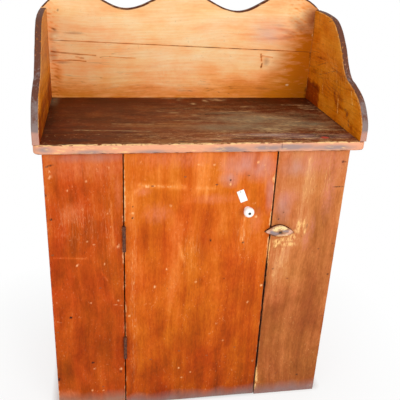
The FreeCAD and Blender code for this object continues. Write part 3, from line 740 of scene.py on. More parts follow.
left_wear = front_wear(
    seed=15,
    # Lighter towards the top: painted light.
    painted_light_by_height=((0, -0.13), (200, -0.11), (420, -0.09), (600, -0.07), (740, 0.0), (824, 0.08)),
    lighter=((-344, 482, 18, 22), (-262, 375, 22, 48), (-379, 285, 18, 20), (-364, 655, 14, 30),
        (-258, 655, 34, 22), (-364, 600, 20, 14), (-300, 670, 20, 12), (-240, 560, 16, 40),
        (-325, 120, 30)),
    darker=((-290, 250, 50, 60), (-302, 385, 24, 40), (-370, 150, 22, 60), (-320, 720, 40, 30),
        (-385, 470, 16, 40), (-300, 600, 34, 50), (-240, 470, 26, 30), (-340, 560, 20, 30)),
    chips=((-391, 762, 5, 7), (-390, 776, 3, 5), (-274, 779, 3, 5, 30), (-247, 783, 4, 5, -30),
        (-297, 698, 2, 5), (-314, 669, 3, 2), (-252, 655, 3, 2.4, 30), (-243, 617, 4, 2.4, 40),
        (-222, 559, 5, 7, -30), (-350, 580, 3, 2, 30), (-305, 576, 2.4), (-288, 566, 4, 2),
        (-334, 504, 5, 2.4, 45), (-350, 724, 2, 2.5), (-302, 748, 2, 4), (-302, 381, 2.4),
        (-333, 336, 4, 3), (-221, 142, 4, 5), (-297, 150, 4), (-308, 68, 3), (-275, 64, 3),
        (-225, 385, 4, 3), (-262, 505, 2, 4)),
    pale=((3.0, (-393, 530), (-309, 524)), (3.0, (-270, 480), (-254, 450)),
        (3.0, (-240, 690), (-236, 560))),
    scratches=((1.8, (-401, 327), (-384, 320)), (1.6, (-238, 372), (-212, 366))),
    scraped=((-330, 640, 60), (-250, 640, 20, 120)),
    holes=((-388, 792, 8, 2.4, 15), (-403, 714, 3, 6), (-394, 644, 4, 3), (-359, 336, 4, 3.5),
        (-303, 172, 4, 3.5), (-222, 131, 3, 4), (-403, 120, 3, 6)),
    # Painted sheen along the top.
    haze_and_sheen=((-300, 812, 100, 14),),
    blush=((-380, 60, 40, 20), (-300, 790, 120, 40), (-222, 720, 10, 60), (-340, 660, 30)),
    rubbed=((-403, 30, 12, 40), (-212, 560, 6, 40)),
    mopped_height=72)
right_wear = front_wear(
    seed=25,
    # Lighter towards the top: painted light.
    painted_light_by_height=((0, -0.24), (200, -0.2), (330, -0.15), (420, -0.06), (600, -0.02), (740, 0.0),
        (824, 0.06)),
    lighter=((222, 470, 12, 70), (275, 600, 14, 26), (252, 545, 26, 20), (238, 500, 24, 44)),
    darker=((350, 420, 24, 120), (240, 330, 24, 60), (345, 640, 26, 70)),
    chips=((278, 602, 9, 16, 10), (272, 585, 9), (290, 606, 4, 18), (296, 582, 3, 10),
        (246, 558, 26, 7), (262, 566, 12, 9), (222, 552, 16, 9), (250, 542, 24, 6), (214, 540, 5, 14),
        (201, 58, 4, 28), (384, 16, 3, 5)),
    pale=((9, (284, 800), (280, 690)), (7, (280, 690), (276, 610)), (5, (222, 530), (218, 440)),
        (5, (240, 530), (236, 470)), (5, (256, 530), (252, 490))),
    scratches=((1.6, (236, 530), (232, 470)), (1.6, (284, 800), (280, 760))),
    scraped=((290, 740, 22, 90), (285, 640, 20, 60), (230, 480, 30, 70), (340, 760, 10, 60)),
    holes=((214, 623, 2.2), (228, 643, 2.2, 1.8), (376, 716, 13, 1.6), (378, 789, 3), (384, 437, 4, 2),
        (215, 465, 3), (301, 600, 1.2, 16), (344, 524, 2.4), (332, 66, 3)),
    # The first two patches are a painted sheen near the top.
    haze_and_sheen=((226, 650, 24, 44), (246, 775, 40, 30), (382, 14, 12)),
    blush=((302, 560, 12, 40), (316, 600, 10, 40), (236, 690, 34, 24), (350, 700, 20, 80),
        (310, 790, 90, 40)),
    rubbed=((197, 60, 10, 40), (197, 530, 5, 24)),
    dirty=((1.7, (196.3, 110), (196.3, 480)), (1.0, (196.3, 560), (196.3, 824))))


def side_wear(u, v, rim, turn, down):
    """Darker towards the floor, pale along the arrises, and milky at the foot."""
    return {
        "tone": np.interp(v, (0, 300, 820), (-0.1, 0.0, 0.06)),
        "bare": hump(rim, 0, 2.6) * (0.4 + 0.3 * wander(35, u / 40, v / 40)),
        "grime": 0.15 * (turn > 1.5),
        "bloom": 0.7 / (1 + np.exp((v - 40 - 6 * wander(37, u / 50)) / 6)),
    }


def case_and_door():
    """The front boards with the door between them, the sides and the back of the case."""
    for node, material, wear, seed in (("face_board_left", left_pine, left_wear, 101),
                                       ("door_board", door_pine, door_wear, 103),
                                       ("face_board_right", right_pine, right_wear, 105)):
        plain_board(node, "XZY", True, (1.8, 2.0, 1.4, 2.0), material, relief=planed(seed),
                    wear=wear, spacing=3.0, uneven=0.3)
    for hand, seed in (("left", 107), ("right", 109)):
        plain_board(f"case_side_{hand}", "YZX", hand == "left", (1.5, 1.2, 1.0, 0.8), side_pine,
                    relief=planed(seed), wear=side_wear, spacing=6.0)
    for i in (1, 2, 3):
        plain_board(f"case_back_board_{i}", "XZY", False, (1.2,) * 4, inside_pine_across,
                    relief=planed(110 + i, 0.5), spacing=7.0)


def inside():
    """The bottom and the shelf on their cleats, and the battens behind the door."""
    for node in ("bottom_board", "shelf_board"):
        plain_board(node, "XYZ", False, (1.0, 0.8, 0.8, 0.8), inside_pine_level,
                    relief=planed(121, 0.4), spacing=8.0)
    for level in ("bottom", "shelf"):
        for hand in ("left", "right"):
            plain_board(f"{level}_cleat_{hand}", "YZX", hand == "right", (1.2,) * 4,
                        inside_pine_cleat, spacing=8.0)
    for level in ("lower", "upper"):
        plain_board(f"door_batten_{level}", "XZY", False, (1.5,) * 4, inside_pine_across,
                    relief=planed(131, 0.3), spacing=7.0)


# ---- the top ----

def top_wear(u, v, rim, turn, down):
    """Dark along the back and on the left, scrubbed grey and brown towards the front right, the grey
    there partly a painted sheen, with tan chips and long pale scratches beside the right gallery side."""
    mark, line = partial(spots, u, v), partial(strokes, u, v)
    scrub = ramp(u, -120, 180) * ramp(v, 100, 10)
    return {
        "tone": (-0.2 + 0.14 * scrub + 0.16 * hump(u, -60, 200) - 0.1 * ramp(v, 60, 160)
                 + 0.1 * hump(u, -60, 150) * ramp(v, -20, -80) + 0.06 * hump(u, -330, 60)),
        "bare": most(
            0.5 * scrub * (0.5 + 0.5 * wander(51, u / 90, v / 14)),
            0.8 * mark((108, 184, 22, 12), (102, 200, 40, 5), (20, 142, 10, 9, 30),
                       (180, 108, 30, 4), (64, 176, 8, 14, 20), (-17, 186, 10, 6),
                       (-40, 206, 60, 3), (150, 60, 50, 5), (43, 73, 14, 5), (-89, 63, 12, 5),
                       (-50, 47, 16, 4), (8, 21, 10, 5)),
            0.6 * line((3.2, (-330, -112), (-212, -119), (-135, -127)),
                       (2.6, (-230, -60), (-120, -66)), (2.6, (-60, -30), (60, -40))),
            1.2 * line((2.6, (352, 118), (396, 118)), (2.6, (346, 104), (400, 104)),
                       (2.4, (350, 92), (392, 92)), (2.4, (356, 78), (398, 80)),
                       (2.4, (300, 130), (380, 126))),
            0.8 * np.clip(wander(60, v / 9) - 0.1, 0, 1) * hump(u, 399, 4)),
        "grime": 0.6 * mark((225, 170, 90, 34), (-400, 0, 22, 190), (408, 0, 5, 240),
                            (330, 10, 60, 30), (60, 30, 60, 12), (-60, 90, 120, 12)),
        # Grey patches at the front right: partly scrubbed wood, partly painted sheen.
        "bloom": 0.75 * mark((180, -20, 150, 50), (120, 40, 90, 14), (140, -95, 170, 34),
                             (300, -70, 90, 40), (-398, 170, 14, 50)),
        "scratch": (0.15 + 0.5 * ramp(u, -260, -60)) * ramp(v, 190, 90),
        "blush": 0.25 * mark((-120, -80, 160, 14), (60, 60, 60, 8)),
        "check": 0.7 * mark((0, 60, 400, 200)),
    }


def top_front_wear(u, v, rim, turn, down):
    """Scrubbed in long patches, with a worn pale line at the joint, a drip of red paint, the
    front arris rubbed to pale wood, and a pinkish front face with grey patches, chips and a dark
    lower edge."""
    mark = partial(spots, u, v)
    rounded = ramp(turn, 0.4, 0.85)
    face = 1 - rounded
    on_edge = rounded * ramp(v, -186, -216)
    scrub = ramp(u, -200, 100)
    front = hump(v, -229.5, 4.6 + 1.2 * wander(58, u / 40))
    worn = 0.8 + 0.5 * wander(57, u / 22) + 0.35 * hump(u, -290, 110)
    chipped = 0.6 * wander(54, u / 16, down / 4) + 0.3 * wander(53, u / 60) - 0.18
    return {
        "tone": (-0.16 + 0.12 * scrub + 0.2 * hump(u, -60, 170) + 0.3 * on_edge
                 + 0.1 * ramp(v, -195, -215)),
        "bare": most(
            1.25 * front * face * worn,
            0.2 * face * scrub * (0.5 + 0.8 * wander(56, u / 40, v / 12)),
            face * hump(v, -137, 3) * (0.4 + 0.4 * wander(59, u / 60)),
            on_edge * np.clip(chipped, 0, 0.6)),
        "grime": most(
            0.9 * face * mark((-395, -224, 9, 3), (-372, -226, 9, 3), (-350, -224, 6, 3),
                              (90, -190, 24, 6), (160, -195, 18, 6), (-330, -190, 50, 12),
                              (30, -205, 20, 4), (300, -160, 30, 6), (-60, -212, 14, 4),
                              (-30, -208, 10, 3), (330, -178, 50, 9), (220, -205, 30, 6)),
            0.7 * on_edge * ramp(down, 20.5, 23.5) * (0.6 + 0.5 * wander(55, u / 30)),
            0.8 * on_edge * strokes(u, down, (1.2, (196, 3), (197, 16)))),
        # On the top face, the grey patches at the right are partly a painted sheen.
        "bloom": most(
            0.9 * on_edge * spots(u, down, (60, 17, 60, 9), (150, 13, 60, 9), (230, 12, 60, 9),
                                  (330, 15, 60, 8), (-395, 12, 22, 9), (-290, 19, 50, 6),
                                  (-120, 20, 60, 6)),
            0.6 * face * mark((300, -180, 110, 24), (180, -165, 110, 16))),
        "blush": 1.4 * on_edge + 0.3 * face * mark((20, -190, 90, 12)),
        "stain": 3.0 * face * mark((324, -192, 8, 6)),
        "check": 0.6 * face,
        "scratch": 0.7 * face * ramp(u, -300, -100),
    }


def top():
    """Two boards with a joint between them, parallel to the front."""
    plain_board("top_board_front", "XYZ", False, (4.6, 4.6, 0.6, 4.6), top_front_pine,
                foot_corner=15.0, relief=planed(141, 0.5), wear=top_front_wear, spacing=3.0,
                rows=6, uneven=0.3, back_arris=1.3)
    plain_board("top_board_rear", "XYZ", False, (0.6, 3.5, 0.8, 3.5), top_pine,
                relief=planed(143, 0.6), wear=top_wear, spacing=3.2)


# ---- the gallery ----

def gallery_side_wear(marked, u, v, rim, turn, down):
    """Golden faces, dark handled edges that go from brown at the top through mauve and grey to
    a bare pinkish foot, the grey partly a painted highlight where the scroll's treads face up, and
    a pale rubbed inner arris. The inner face is stained and scratched as far as it is marked, and
    darkened there with painted shade in the corner at its foot and back; otherwise it is cleaner:
    pinkish above and darker towards its foot."""
    mark, line = partial(spots, u, v), partial(strokes, u, v)
    on_edge = ramp(turn, 0.45, 0.7) * ramp(turn, 1.9, 1.7)
    face = (1 - on_edge) * (turn < 1)
    outer = (1 - on_edge) * (turn > 1)
    flaws, clean = marked * face, (1 - marked) * face
    foot_top = 908 - 14 * (1 - marked)
    foot = ramp(v - 6 * wander(71, u / 20), foot_top, foot_top - 10 - 34 * marked)
    # grey: the share of grey on the edges by height; partly the edges' own grey, partly a painted
    # highlight where the scroll's treads face up.
    grey = np.interp(v, (860, 900, 942, 956, 984, 1000, 1040),
                     (0.5, 0.85, 0.75, 0.35, 0.35, 0.5, 0.1))
    grey = np.clip(grey + 0.25 * wander(73, u / 25, v / 25), 0, 1)
    arris = hump(rim, 0, 2.2) * (turn < 0.6) * (0.85 + 0.3 * wander(72, u / 18, v / 18))
    # stain darkens the corner at the inner face's foot, towards the back: painted shade.
    stain = ramp(v - 7 * wander(74, u / 12), 926, 910) * ramp(u + 6 * wander(75, v / 12), 88, 102)
    return {
        "tone": (0.02 - 0.1 * outer + (0.08 * face + 0.04 * clean) * ramp(v, 1000, 1080)
                 - 0.3 * flaws * stain - 0.3 * clean * ramp(v, 965, 895)
                 - 0.25 * clean * mark((-215, 900, 40))
                 - 0.2 * flaws * line((8, (-80, 922), (-50, 926)), (8, (-40, 905), (-20, 925)))
                 - 0.08 * face * line((5, (180, 990), (60, 1010)), (5, (150, 955), (20, 975)),
                                      (4, (60, 1000), (-60, 980)))
                 + 0.1 * face * mark((-160, 930, 26, 60, 20), (-60, 1040, 60, 30, 30))
                 - 0.22 * flaws * mark((-124, 894, 20, 9, -25), (-163, 870, 9, 12),
                                       (-75, 902, 24, 7, 10))),
        "bare": most(0.8 * arris * (v > 875),
                     0.8 * face * line((2.0, (80, 935), (74, 905)), (1.8, (-60, 880), (-50, 920)),
                                       (1.6, (-150, 930), (-130, 960)))),
        "grime": most(
            2.5 * on_edge * (1 - foot) * (1 - grey) ** 1.6,
            0.6 * flaws * mark((-112, 904, 9, 4), (-140, 880, 6, 7), (-147, 870, 9, 4, 30),
                               (-125, 896, 5, 8)),
            0.6 * flaws * line((1.6, (166, 1080), (174, 1124)), (1.4, (60, 1119), (90, 1112)),
                               (1.6, (140, 975), (60, 1000)), (1.4, (120, 950), (-10, 990)),
                               (1.6, (210, 880), (213, 1100)))),
        "bloom": 2.2 * on_edge * most(grey * (1 - foot), 0.1 * foot),
        "blush": 2.2 * on_edge * foot + 0.4 * clean * ramp(v, 930, 990),
        "scratch": 0.6 * face * mark((-10, 985, 150, 60)),
        "check": 0.3 * face,
    }


def gallery_back_wear(u, v, rim, turn, down):
    """Pale honey, with painted light and shade: lighter in the middle, darker and deep golden towards
    the foot and at the right end, where the top and the right gallery side shade it, and reddish
    brown in the top right corner under that side. Reddish at the left end, with cracks at the left,
    an old scar at the right and a dark scalloped edge."""
    mark, line = partial(spots, u, v), partial(strokes, u, v)
    face = 1 - ramp(turn, 0.3, 0.6)
    # shade traces where the right gallery side's painted shadow begins on the back, further left
    # towards the foot; right is how deep into that painted shade a place lies.
    shade = np.interp(v, (855, 900, 960, 1000, 1050, 1090), (180, 226, 250, 270, 300, 350))
    right = ramp(u - 5 * wander(62, v / 40), shade, shade + 125)
    scalloped = np.clip(ramp(turn, 0.1, 0.3) + hump(rim, 0, 2.2), 0, 1)
    scalloped = scalloped * (v > 1062) * (turn < 1.9) * (np.abs(u) < 420)
    seam = hump(rim, 0, 1.1) * (v > 975) * (v < 1062) * (np.abs(u) < 403)
    cracks = face * line((1.8, (-400, 991), (-343, 986), (-270, 981)),
                         (1.6, (-399, 964), (-341, 967), (-300, 963)),
                         (1.5, (-330, 977), (-306, 972)), (2.4, (244, 992), (248, 970)),
                         (2.6, (250, 962), (248, 950)), (1.6, (248, 987), (283, 982)),
                         (2.0, (408, 975), (409, 1012)), (1.2, (-230, 978), (-150, 974)))
    frayed = (face * np.clip(wander(64, u / 7, v / 4) - 0.1, 0, 1)
              * (hump(u, -394, 18) + hump(u, 360, 44) * (v > 1030)))
    return {
        # The tone's fall towards the foot, its fall at the right end and the dark patch low at (185,
        # 888) are painted shade; its rise in the middle is painted light.
        "tone": (0.17 - 0.3 * ramp(turn, 1, 2) + np.interp(v, (865, 895, 980), (-0.28, -0.15, 0))
                 + 0.07 * hump(u, 0, 180) + 0.02 * ramp(u, -200, -360) - 0.09 * right
                 - 0.45 * cracks - 0.4 * frayed - 0.35 * seam
                 - 0.24 * face * mark((264, 1040, 70, 6, 2), (215, 1052, 50, 4),
                                      (318, 1046, 40, 8), (300, 1070, 40, 5, -8))
                 - 0.3 * face * mark((185, 888, 110, 32), (-385, 930, 16, 26))
                 + 0.1 * mark((-200, 1070, 60, 26), (60, 1020, 90, 24), (190, 950, 60, 40),
                              (-300, 1075, 50, 14))),
        "bare": 0.8 * face * mark((408, 1055, 3, 9), (-382, 1030, 16, 12), (328, 943, 4, 3),
                                  (340, 894, 5, 3), (264, 988, 12, 5)),
        "grime": most(
            1.2 * scalloped, 0.12 * (turn > 1.5), 0.5 * cracks,
            seam * np.interp(u, (-400, -200, -100, 260, 330, 400), (0.3, 0.35, 0.65, 0.7, 0.45, 0.4)),
            0.75 * face * mark((-375, 1110, 3), (-389, 1056, 8, 3, -30), (408, 995, 4, 14),
                               (406, 870, 5, 20))),
        # The first four marks paint the reddish-brown shade in the top right corner, where the right
        # gallery side shades the back.
        "bloom": face * most(
            0.56 * mark((402, 1104, 38, 46), (368, 1076, 44, 22, -35), (330, 1060, 44, 8, -15),
                        (322, 1044, 40, 6, 5)),
            0.42 * mark((262, 970, 12, 16), (-392, 1040, 16, 26), (-395, 985, 14, 28),
                        (-370, 960, 30, 5), (-330, 1046, 30, 4), (290, 1042, 36, 5, 3),
                        (300, 1080, 40, 4, -5), (245, 1068, 30, 3))),
        # Deep golden at the right end and along the foot: painted shade.
        "blush": face * most(1.15 * right, 0.62 * ramp(v, 915, 850)),
        "stain": 0.6 * face * mark((272, 1058, 70, 48)),
        "scratch": 0.5 * face * mark((-50, 930, 60, 34)),
        "check": 0.5 * face * mark((-300, 960, 140, 60), (80, 880, 300, 30)),
    }


def gallery():
    """Two scrolled sides, and a back of two boards with a sloping joint, scalloped above."""
    for hand, marked in (("left", 0.3), ("right", 1.0)):
        node = f"gallery_side_{hand}"
        low, high = node_box(node)
        scroll = drawn_edge(node, "Y", "Z", low[2] + 1)
        foot = np.array([[low[1], low[2]], [high[1], low[2]]])
        faces = (high[0], low[0]) if hand == "left" else (low[0], high[0])
        board(node, edges_between(foot, scroll), "YZX", faces, (0.8, 1.0, 3.5, 3.5),
              gallery_side_pine, relief=planed(151, 0.4), wear=partial(gallery_side_wear, marked),
              spacing=2.6, back_arris=1.0)

    for node, arris, seed in (("gallery_back_upper", (0.8, 2.0, 3.0, 2.0), 161),
                              ("gallery_back_lower", (1.5, 2.0, 0.8, 2.0), 163)):
        low, high = node_box(node)
        points = node_points(node)
        ends = [points[np.abs(points[:, 0] - x) < END_REACH, 2] for x in (low[0], high[0])]
        foot, top = (np.array([[low[0], keep(ends[0])], [high[0], keep(ends[1])]])
                     for keep in (np.min, np.max))
        if node == "gallery_back_upper":
            top = drawn_edge(node, "X", "Z", (low[2] + high[2]) / 2)
        board(node, edges_between(foot, top), "XZY", (low[1], high[1]), arris, gallery_back_pine,
              relief=planed(seed, 0.4), wear=gallery_back_wear, spacing=2.6)


# ---- small pieces ----

# How far each point is from the door, and from the knob's axis: its foot, its neck, its round
# head, and the recess that holds the bolt's head.
KNOB_PROFILE = (
    (0, 0), (0, 8.2), (0.6, 8.5), (2.2, 8.5), (3.2, 8.1), (5.0, 7.0), (7.5, 6.5), (9.4, 7.2),
    (11.0, 9.2), (12.8, 11.6), (15.2, 13.6), (18.5, 14.3), (21.8, 13.8), (24.6, 12.4),
    (26.6, 10.7), (27.7, 9.1), (28.0, 7.6), (28.0, 4.6), (27.6, 3.9), (26.4, 3.9), (26.4, 0))
KNOB_AROUND = 64                # points around it


def smooth_profile(profile, steps=5):
    """A curve through the profile's points by Catmull and Rom's formula: at each point it has
    the slope of the line from the point before to the point after."""
    p = np.array(profile, float)
    p = np.concatenate([p[:1], p, p[-1:]])
    t = np.linspace(0, 1, steps, endpoint=False)[None, :, None]
    a, b, c, d = (p[i:len(p) - 3 + i, None] for i in range(4))
    curve = 0.5 * (2 * b + (c - a) * t + (2 * a - 5 * b + 4 * c - d) * t ** 2
                   + (3 * b - a - 3 * c + d) * t ** 3)
    curve = np.concatenate([curve.reshape(-1, 2), p[-1:]])
    return np.column_stack([curve[:, 0].clip(0, p[:, 0].max()), np.maximum(curve[:, 1], 0)])


def knob():
    """Turned on a lathe: its profile, carried once around an axis that points forward."""
    low, high = node_box("knob")
    reach, radius = smooth_profile(KNOB_PROFILE).T[:, :, None]
    angle = np.linspace(0, 2 * math.pi, KNOB_AROUND, endpoint=False)
    points = np.stack([radius * np.cos(angle), 0 * angle - reach, radius * np.sin(angle)], axis=-1)
    points += (low[0] + high[0]) / 2, high[1], (low[2] + high[2]) / 2
    rings = np.arange(points.size // 3).reshape(len(reach), KNOB_AROUND)
    small_piece("knob", "glazed", points.reshape(-1, 3), band_quads(rings), porcelain())


BUTTON_HALF = 42.5              # from the pivot to each tip
BUTTON_CROWN = 20.0             # top of the upper edge, over the pivot
BUTTON_RIGHT_DROP = 5.0         # right tip, under the left one
BUTTON_BELLY = (-13.0, -14.5)   # lowest corner, from the pivot
BUTTON_BOW = 4.0                # how far the long lower edge bows out
BUTTON_THICKNESS = 13.0
BUTTON_DIMPLE = (4.4, 2.0)      # radius and depth round the screw
BUTTON_ROUND = 1.3              # its whittled edges
BUTTON_BLEND = 0.3              # how softly two facets meet
BUTTON_STATIONS, BUTTON_ROWS = 97, 37       # points along the button and across it
BUTTON_TIP = 0.02               # how far round its tips' arc the first and last stations lie
BUTTON_LAYERS = (0.08, 0.3, 0.6, 0.9)       # rings of its rim, from the front to the back
BUTTON_STAINED = 0.25           # from its rim, as dark as most of its wall
# Whittled facets: the slope of each, how far from the pivot it starts, and which way it falls.
BUTTON_FACETS = ((0.26, 13, -1, 0), (0.26, 13, 1, 0), (0.6, 8.5, 0.1, -1), (0.6, 3, 0.1, 1),
                 (0.7, 12, 0.55, 0.83))


def button_edges(x):
    """The heights of the button's lower and upper edges: a straight cut down to the belly and a
    bowed one from there to the right tip, under a parabola through both tips and the crown."""
    q = x / BUTTON_HALF
    upper = (BUTTON_CROWN + BUTTON_RIGHT_DROP / 2) * (1 - q ** 2) - BUTTON_RIGHT_DROP * (1 + q) / 2
    belly_x, belly_z = BUTTON_BELLY
    share = ramp(x, belly_x, BUTTON_HALF)
    right = belly_z - (BUTTON_RIGHT_DROP + belly_z) * share - 4 * BUTTON_BOW * share * (1 - share)
    left = belly_z * (x + BUTTON_HALF) / (BUTTON_HALF + belly_x)
    return np.where(x < belly_x, left, right), upper


def button_height(x, z):
    """How thick the button is: its flat middle and the facets that fall away from it, softly
    joined, less a dimple round the screw."""
    falls = [0 * x] + [slope * (start + run_x * x + run_z * z)
                       for slope, start, run_x, run_z in BUTTON_FACETS]
    joined = -BUTTON_BLEND * np.log(sum(np.exp(-fall / BUTTON_BLEND) for fall in falls))
    radius, depth = BUTTON_DIMPLE
    return BUTTON_THICKNESS + joined - depth * np.exp(-(np.hypot(x, z) / radius) ** 4)


def button_wear(x, z, wall):
    """Dark stained edges, pale rubbed facets above and below the screw, a grey band between
    them that is a painted sheen, and pinkish tips."""
    mark, line = partial(spots, x, z), partial(strokes, x, z)
    return {
        "tone": 0.1 - 0.3 * wall,
        "bare": (1 - wall) * most(1.3 * line((4.2, (-17, 9), (-2, 14), (14, 13))),
                                  0.8 * line((3.6, (-4, -14), (8, -14), (20, -10)))),
        # The grey band across the face is a painted sheen.
        "bloom": (1 - wall) * most(line((5.0, (-24, 1), (-16, -3), (-8, -4))),
                                   0.7 * line((3.6, (9, 5), (22, 3)))),
        "blush": (1 - wall) * most(line((4.0, (-2, -9), (12, -8), (30, -3))),
                                   mark((-32, 1, 8, 6), (31, 1, 9, 6), (-22, 8, 5, 3, 30))),
        "grime": most(1.3 * wall, 1.1 * line((3.2, (-27, -8), (-13, -13))),
                      0.9 * mark((-42, 0, 4, 3), (42, -5, 3), (0, 0, 7, 6))),
    }


def turn_button():
    """Stations across the button, each with a row of points from its lower to its upper edge."""
    pivot = np.array(next(joint["pos_m"] for joint in behaviour["joints"]
                          if joint["name"] == "turn_button_pivot")) / MM
    back_y = node_box("turn_button")[1][1]
    station = -BUTTON_HALF * np.cos(np.linspace(BUTTON_TIP, math.pi - BUTTON_TIP, BUTTON_STATIONS))
    row = 0.5 - 0.5 * np.cos(np.linspace(0, math.pi, BUTTON_ROWS))
    x = np.broadcast_to(station, (len(row), len(station)))
    lower, upper = button_edges(x)
    z = lower + (upper - lower) * row[:, None]
    to_edge = np.clip(np.minimum(z - lower, upper - z), 0, BUTTON_ROUND)
    rounding = BUTTON_ROUND - np.sqrt(BUTTON_ROUND ** 2 - (BUTTON_ROUND - to_edge) ** 2)
    front = np.stack([x, rounding - button_height(x, z), z], axis=-1)
    rear = front * (1, 0, 1)
    rim = grid_rim(np.arange(x.size).reshape(x.shape))
    rings = [front.reshape(-1, 3)[rim] * (1 - share) + rear.reshape(-1, 3)[rim] * share
             for share in BUTTON_LAYERS]
    points = np.concatenate([front.reshape(-1, 3), *rings, rear.reshape(-1, 3)])
    wall = np.concatenate([np.where(to_edge < BUTTON_STAINED, 0.6, 0.0).ravel(),
                           np.ones(len(rings) * len(rim) + x.size)])
    fields = finish_fields(button_wear, points[:, 0], points[:, 2], wall)
    quads = skin_quads(BUTTON_STATIONS, BUTTON_ROWS, len(rings))
    points += pivot[0], back_y, pivot[2]
    small_piece("turn_button", "whittled", points, quads, button_wood, fields)


TAG_WIDTH, TAG_LENGTH, TAG_THICKNESS = 20.0, 35.0, 0.5
TAG_TILT = 23.0                 # degrees, its foot swung to the right
TAG_LIFT = 1.3                  # its loose corner, off the door
TAG_COLUMNS, TAG_ROWS = 13, 19


def card_tag():
    """A card that lies on the door at a slant, with its lower corners curling off."""
    low, high = node_box("card_tag")
    u, v = np.meshgrid(np.linspace(-0.5, 0.5, TAG_COLUMNS), np.linspace(-0.5, 0.5, TAG_ROWS))
    across, up = u * TAG_WIDTH, v * TAG_LENGTH
    turn = math.radians(TAG_TILT)
    x = (low[0] + high[0]) / 2 + across * math.cos(turn) - up * math.sin(turn)
    z = (low[2] + high[2]) / 2 + across * math.sin(turn) + up * math.cos(turn)
    loose = np.clip(0.55 + u - v, 0, 2) ** 3 / 4 + np.clip(0.1 - u - v, 0, 2) ** 3 / 6
    rear = np.stack([x, high[1] - TAG_LIFT * loose, z], axis=-1).reshape(-1, 3)
    points = np.concatenate([rear - (0, TAG_THICKNESS, 0), rear])
    small_piece("card_tag", "curled", points, skin_quads(TAG_COLUMNS, TAG_ROWS, 0), card())


def fittings():
    """The CAD nodes whose shapes are right keep them and take a finish."""
    finishes = {"hinge_iron": hinge_iron, "steel_screws": dull_steel, "wrought_nails": nail_iron}
    for node, slot in slot_of.items():
        if slot in finishes:
            for holder in frame["nodes"][node].material_slots:
                holder.link = "OBJECT"
                holder.material = tinned_steel if node == "tag_tack" else finishes[slot]


# ---- stage, light and camera ----

CAMERA_PLACE = (-0.26236, -1.59341, 1.32856)
CAMERA_YAW, CAMERA_PITCH, CAMERA_ROLL = 0.182, 0.427, 0.048      # radians
CAMERA_LENS, CAMERA_SENSOR = 52.56, 36.0


def camera():
    """Looks a little to the right and down, with a slight roll."""
    ahead = Vector((math.sin(CAMERA_YAW) * math.cos(CAMERA_PITCH),
                    math.cos(CAMERA_YAW) * math.cos(CAMERA_PITCH), -math.sin(CAMERA_PITCH)))
    level = Vector((math.cos(CAMERA_YAW), -math.sin(CAMERA_YAW), 0))
    above = level.cross(ahead)
    right = level * math.cos(CAMERA_ROLL) + above * math.sin(CAMERA_ROLL)
    up = above * math.cos(CAMERA_ROLL) - level * math.sin(CAMERA_ROLL)
    data = bpy.data.cameras.new("camera")
    data.lens = CAMERA_LENS
    data.sensor_width = CAMERA_SENSOR
    made = bpy.data.objects.new("camera", data)
    turned = Matrix((right, up, -ahead)).transposed().to_4x4()
    made.matrix_world = Matrix.Translation(CAMERA_PLACE) @ turned
    bpy.context.scene.collection.objects.link(made)
    bpy.context.scene.camera = made


LAMP_TARGET = Vector((0, 0, 0.6))
SURROUND_LIGHT = 0.66


def softbox(name, place, width, power):
    """A square lamp that faces the middle of the cabinet."""
    data = bpy.data.lights.new(name, "AREA")
    data.shape = "SQUARE"
    data.size = width
    data.energy = power
    made = bpy.data.objects.new(name, data)
    made.location = place
    made.rotation_euler = (LAMP_TARGET - Vector(place)).to_track_quat("-Z", "Y").to_euler()
    bpy.context.scene.collection.objects.link(made)


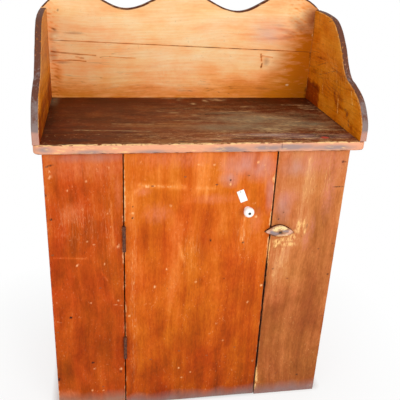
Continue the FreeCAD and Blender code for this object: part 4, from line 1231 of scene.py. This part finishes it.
def studio():
    """A white surround, a broad lamp at the front right and a weaker one at the left."""
    softbox("lamp_key", (1.35, -2.9, 1.9), 1.5, 50)
    softbox("lamp_fill", (-2.4, -2.2, 1.5), 2.0, 22)

    world = bpy.data.worlds.new("surround")
    bpy.context.scene.world = world
    tree = blank_tree(world)
    rays = add(tree, "ShaderNodeLightPath").outputs
    seen = calc(tree, "MAXIMUM", rays["Is Camera Ray"], rays["Is Transmission Ray"])
    soft, white = (add(tree, "ShaderNodeBackground", {"Color": "#FFFFFF", "Strength": strength})
                   for strength in (SURROUND_LIGHT, 1.0))
    mixed = add(tree, "ShaderNodeMixShader", {0: seen, 1: soft.outputs[0], 2: white.outputs[0]})
    add(tree, "ShaderNodeOutputWorld", {"Surface": mixed.outputs[0]})


FLOOR_HALF = 30000.0            # far enough to fill any view
FLOOR_SHADE = (30.0, 0.80)      # how far from the case the floor darkens, and its own light there
FLOOR_REACH = 450.0             # where the floor has only its own light


def floor():
    """Pale paper that shows white far off, and the case's soft shadow close by: its own light
    grows with the distance from the case, and there is none under it."""
    material = bpy.data.materials.new("pale_floor")
    tree = blank_tree(material)
    low, high = node_box("case_side_left")[0], node_box("case_side_right")[1]
    place = add(tree, "ShaderNodeTexCoord").outputs["Object"]
    for operation, *other in (("SUBTRACT", (low + high) / 2 * MM), ("ABSOLUTE",),
                              ("SUBTRACT", (high - low) / 2 * MM), ("MAXIMUM", (0, 0, 0))):
        place = calc(tree, operation, place, *map(tuple, other), kind="VectorMath")
    away = add(tree, "ShaderNodeVectorMath", {0: place}, operation="LENGTH").outputs["Value"]
    margin, level = FLOOR_SHADE
    near = remap(tree, away, (0, margin * MM), (0, level))
    own = remap(tree, away, (margin * MM, FLOOR_REACH * MM), (0, 1.0 - level))
    rays = add(tree, "ShaderNodeLightPath").outputs
    share = calc(tree, "MULTIPLY", rays["Is Camera Ray"], calc(tree, "ADD", near, own))
    paper = add(tree, "ShaderNodeBsdfDiffuse", {"Color": "#F4F4F2"}).outputs[0]
    white = add(tree, "ShaderNodeEmission", {"Color": "#FFFFFF", "Strength": 1.0}).outputs[0]
    mixed = add(tree, "ShaderNodeMixShader", {0: share, 1: paper, 2: white}).outputs[0]
    add(tree, "ShaderNodeOutputMaterial", {"Surface": mixed})
    corners = FLOOR_HALF * np.array([[-1, -1, 0], [1, -1, 0], [1, 1, 0], [-1, 1, 0]])
    write_mesh("floor", corners, np.array([[0, 1, 2, 3]]), material)


bpy.context.scene.view_settings.view_transform = "Standard"
camera()
studio()
floor()
case_and_door()
inside()
top()
gallery()
knob()
turn_button()
card_tag()
fittings()
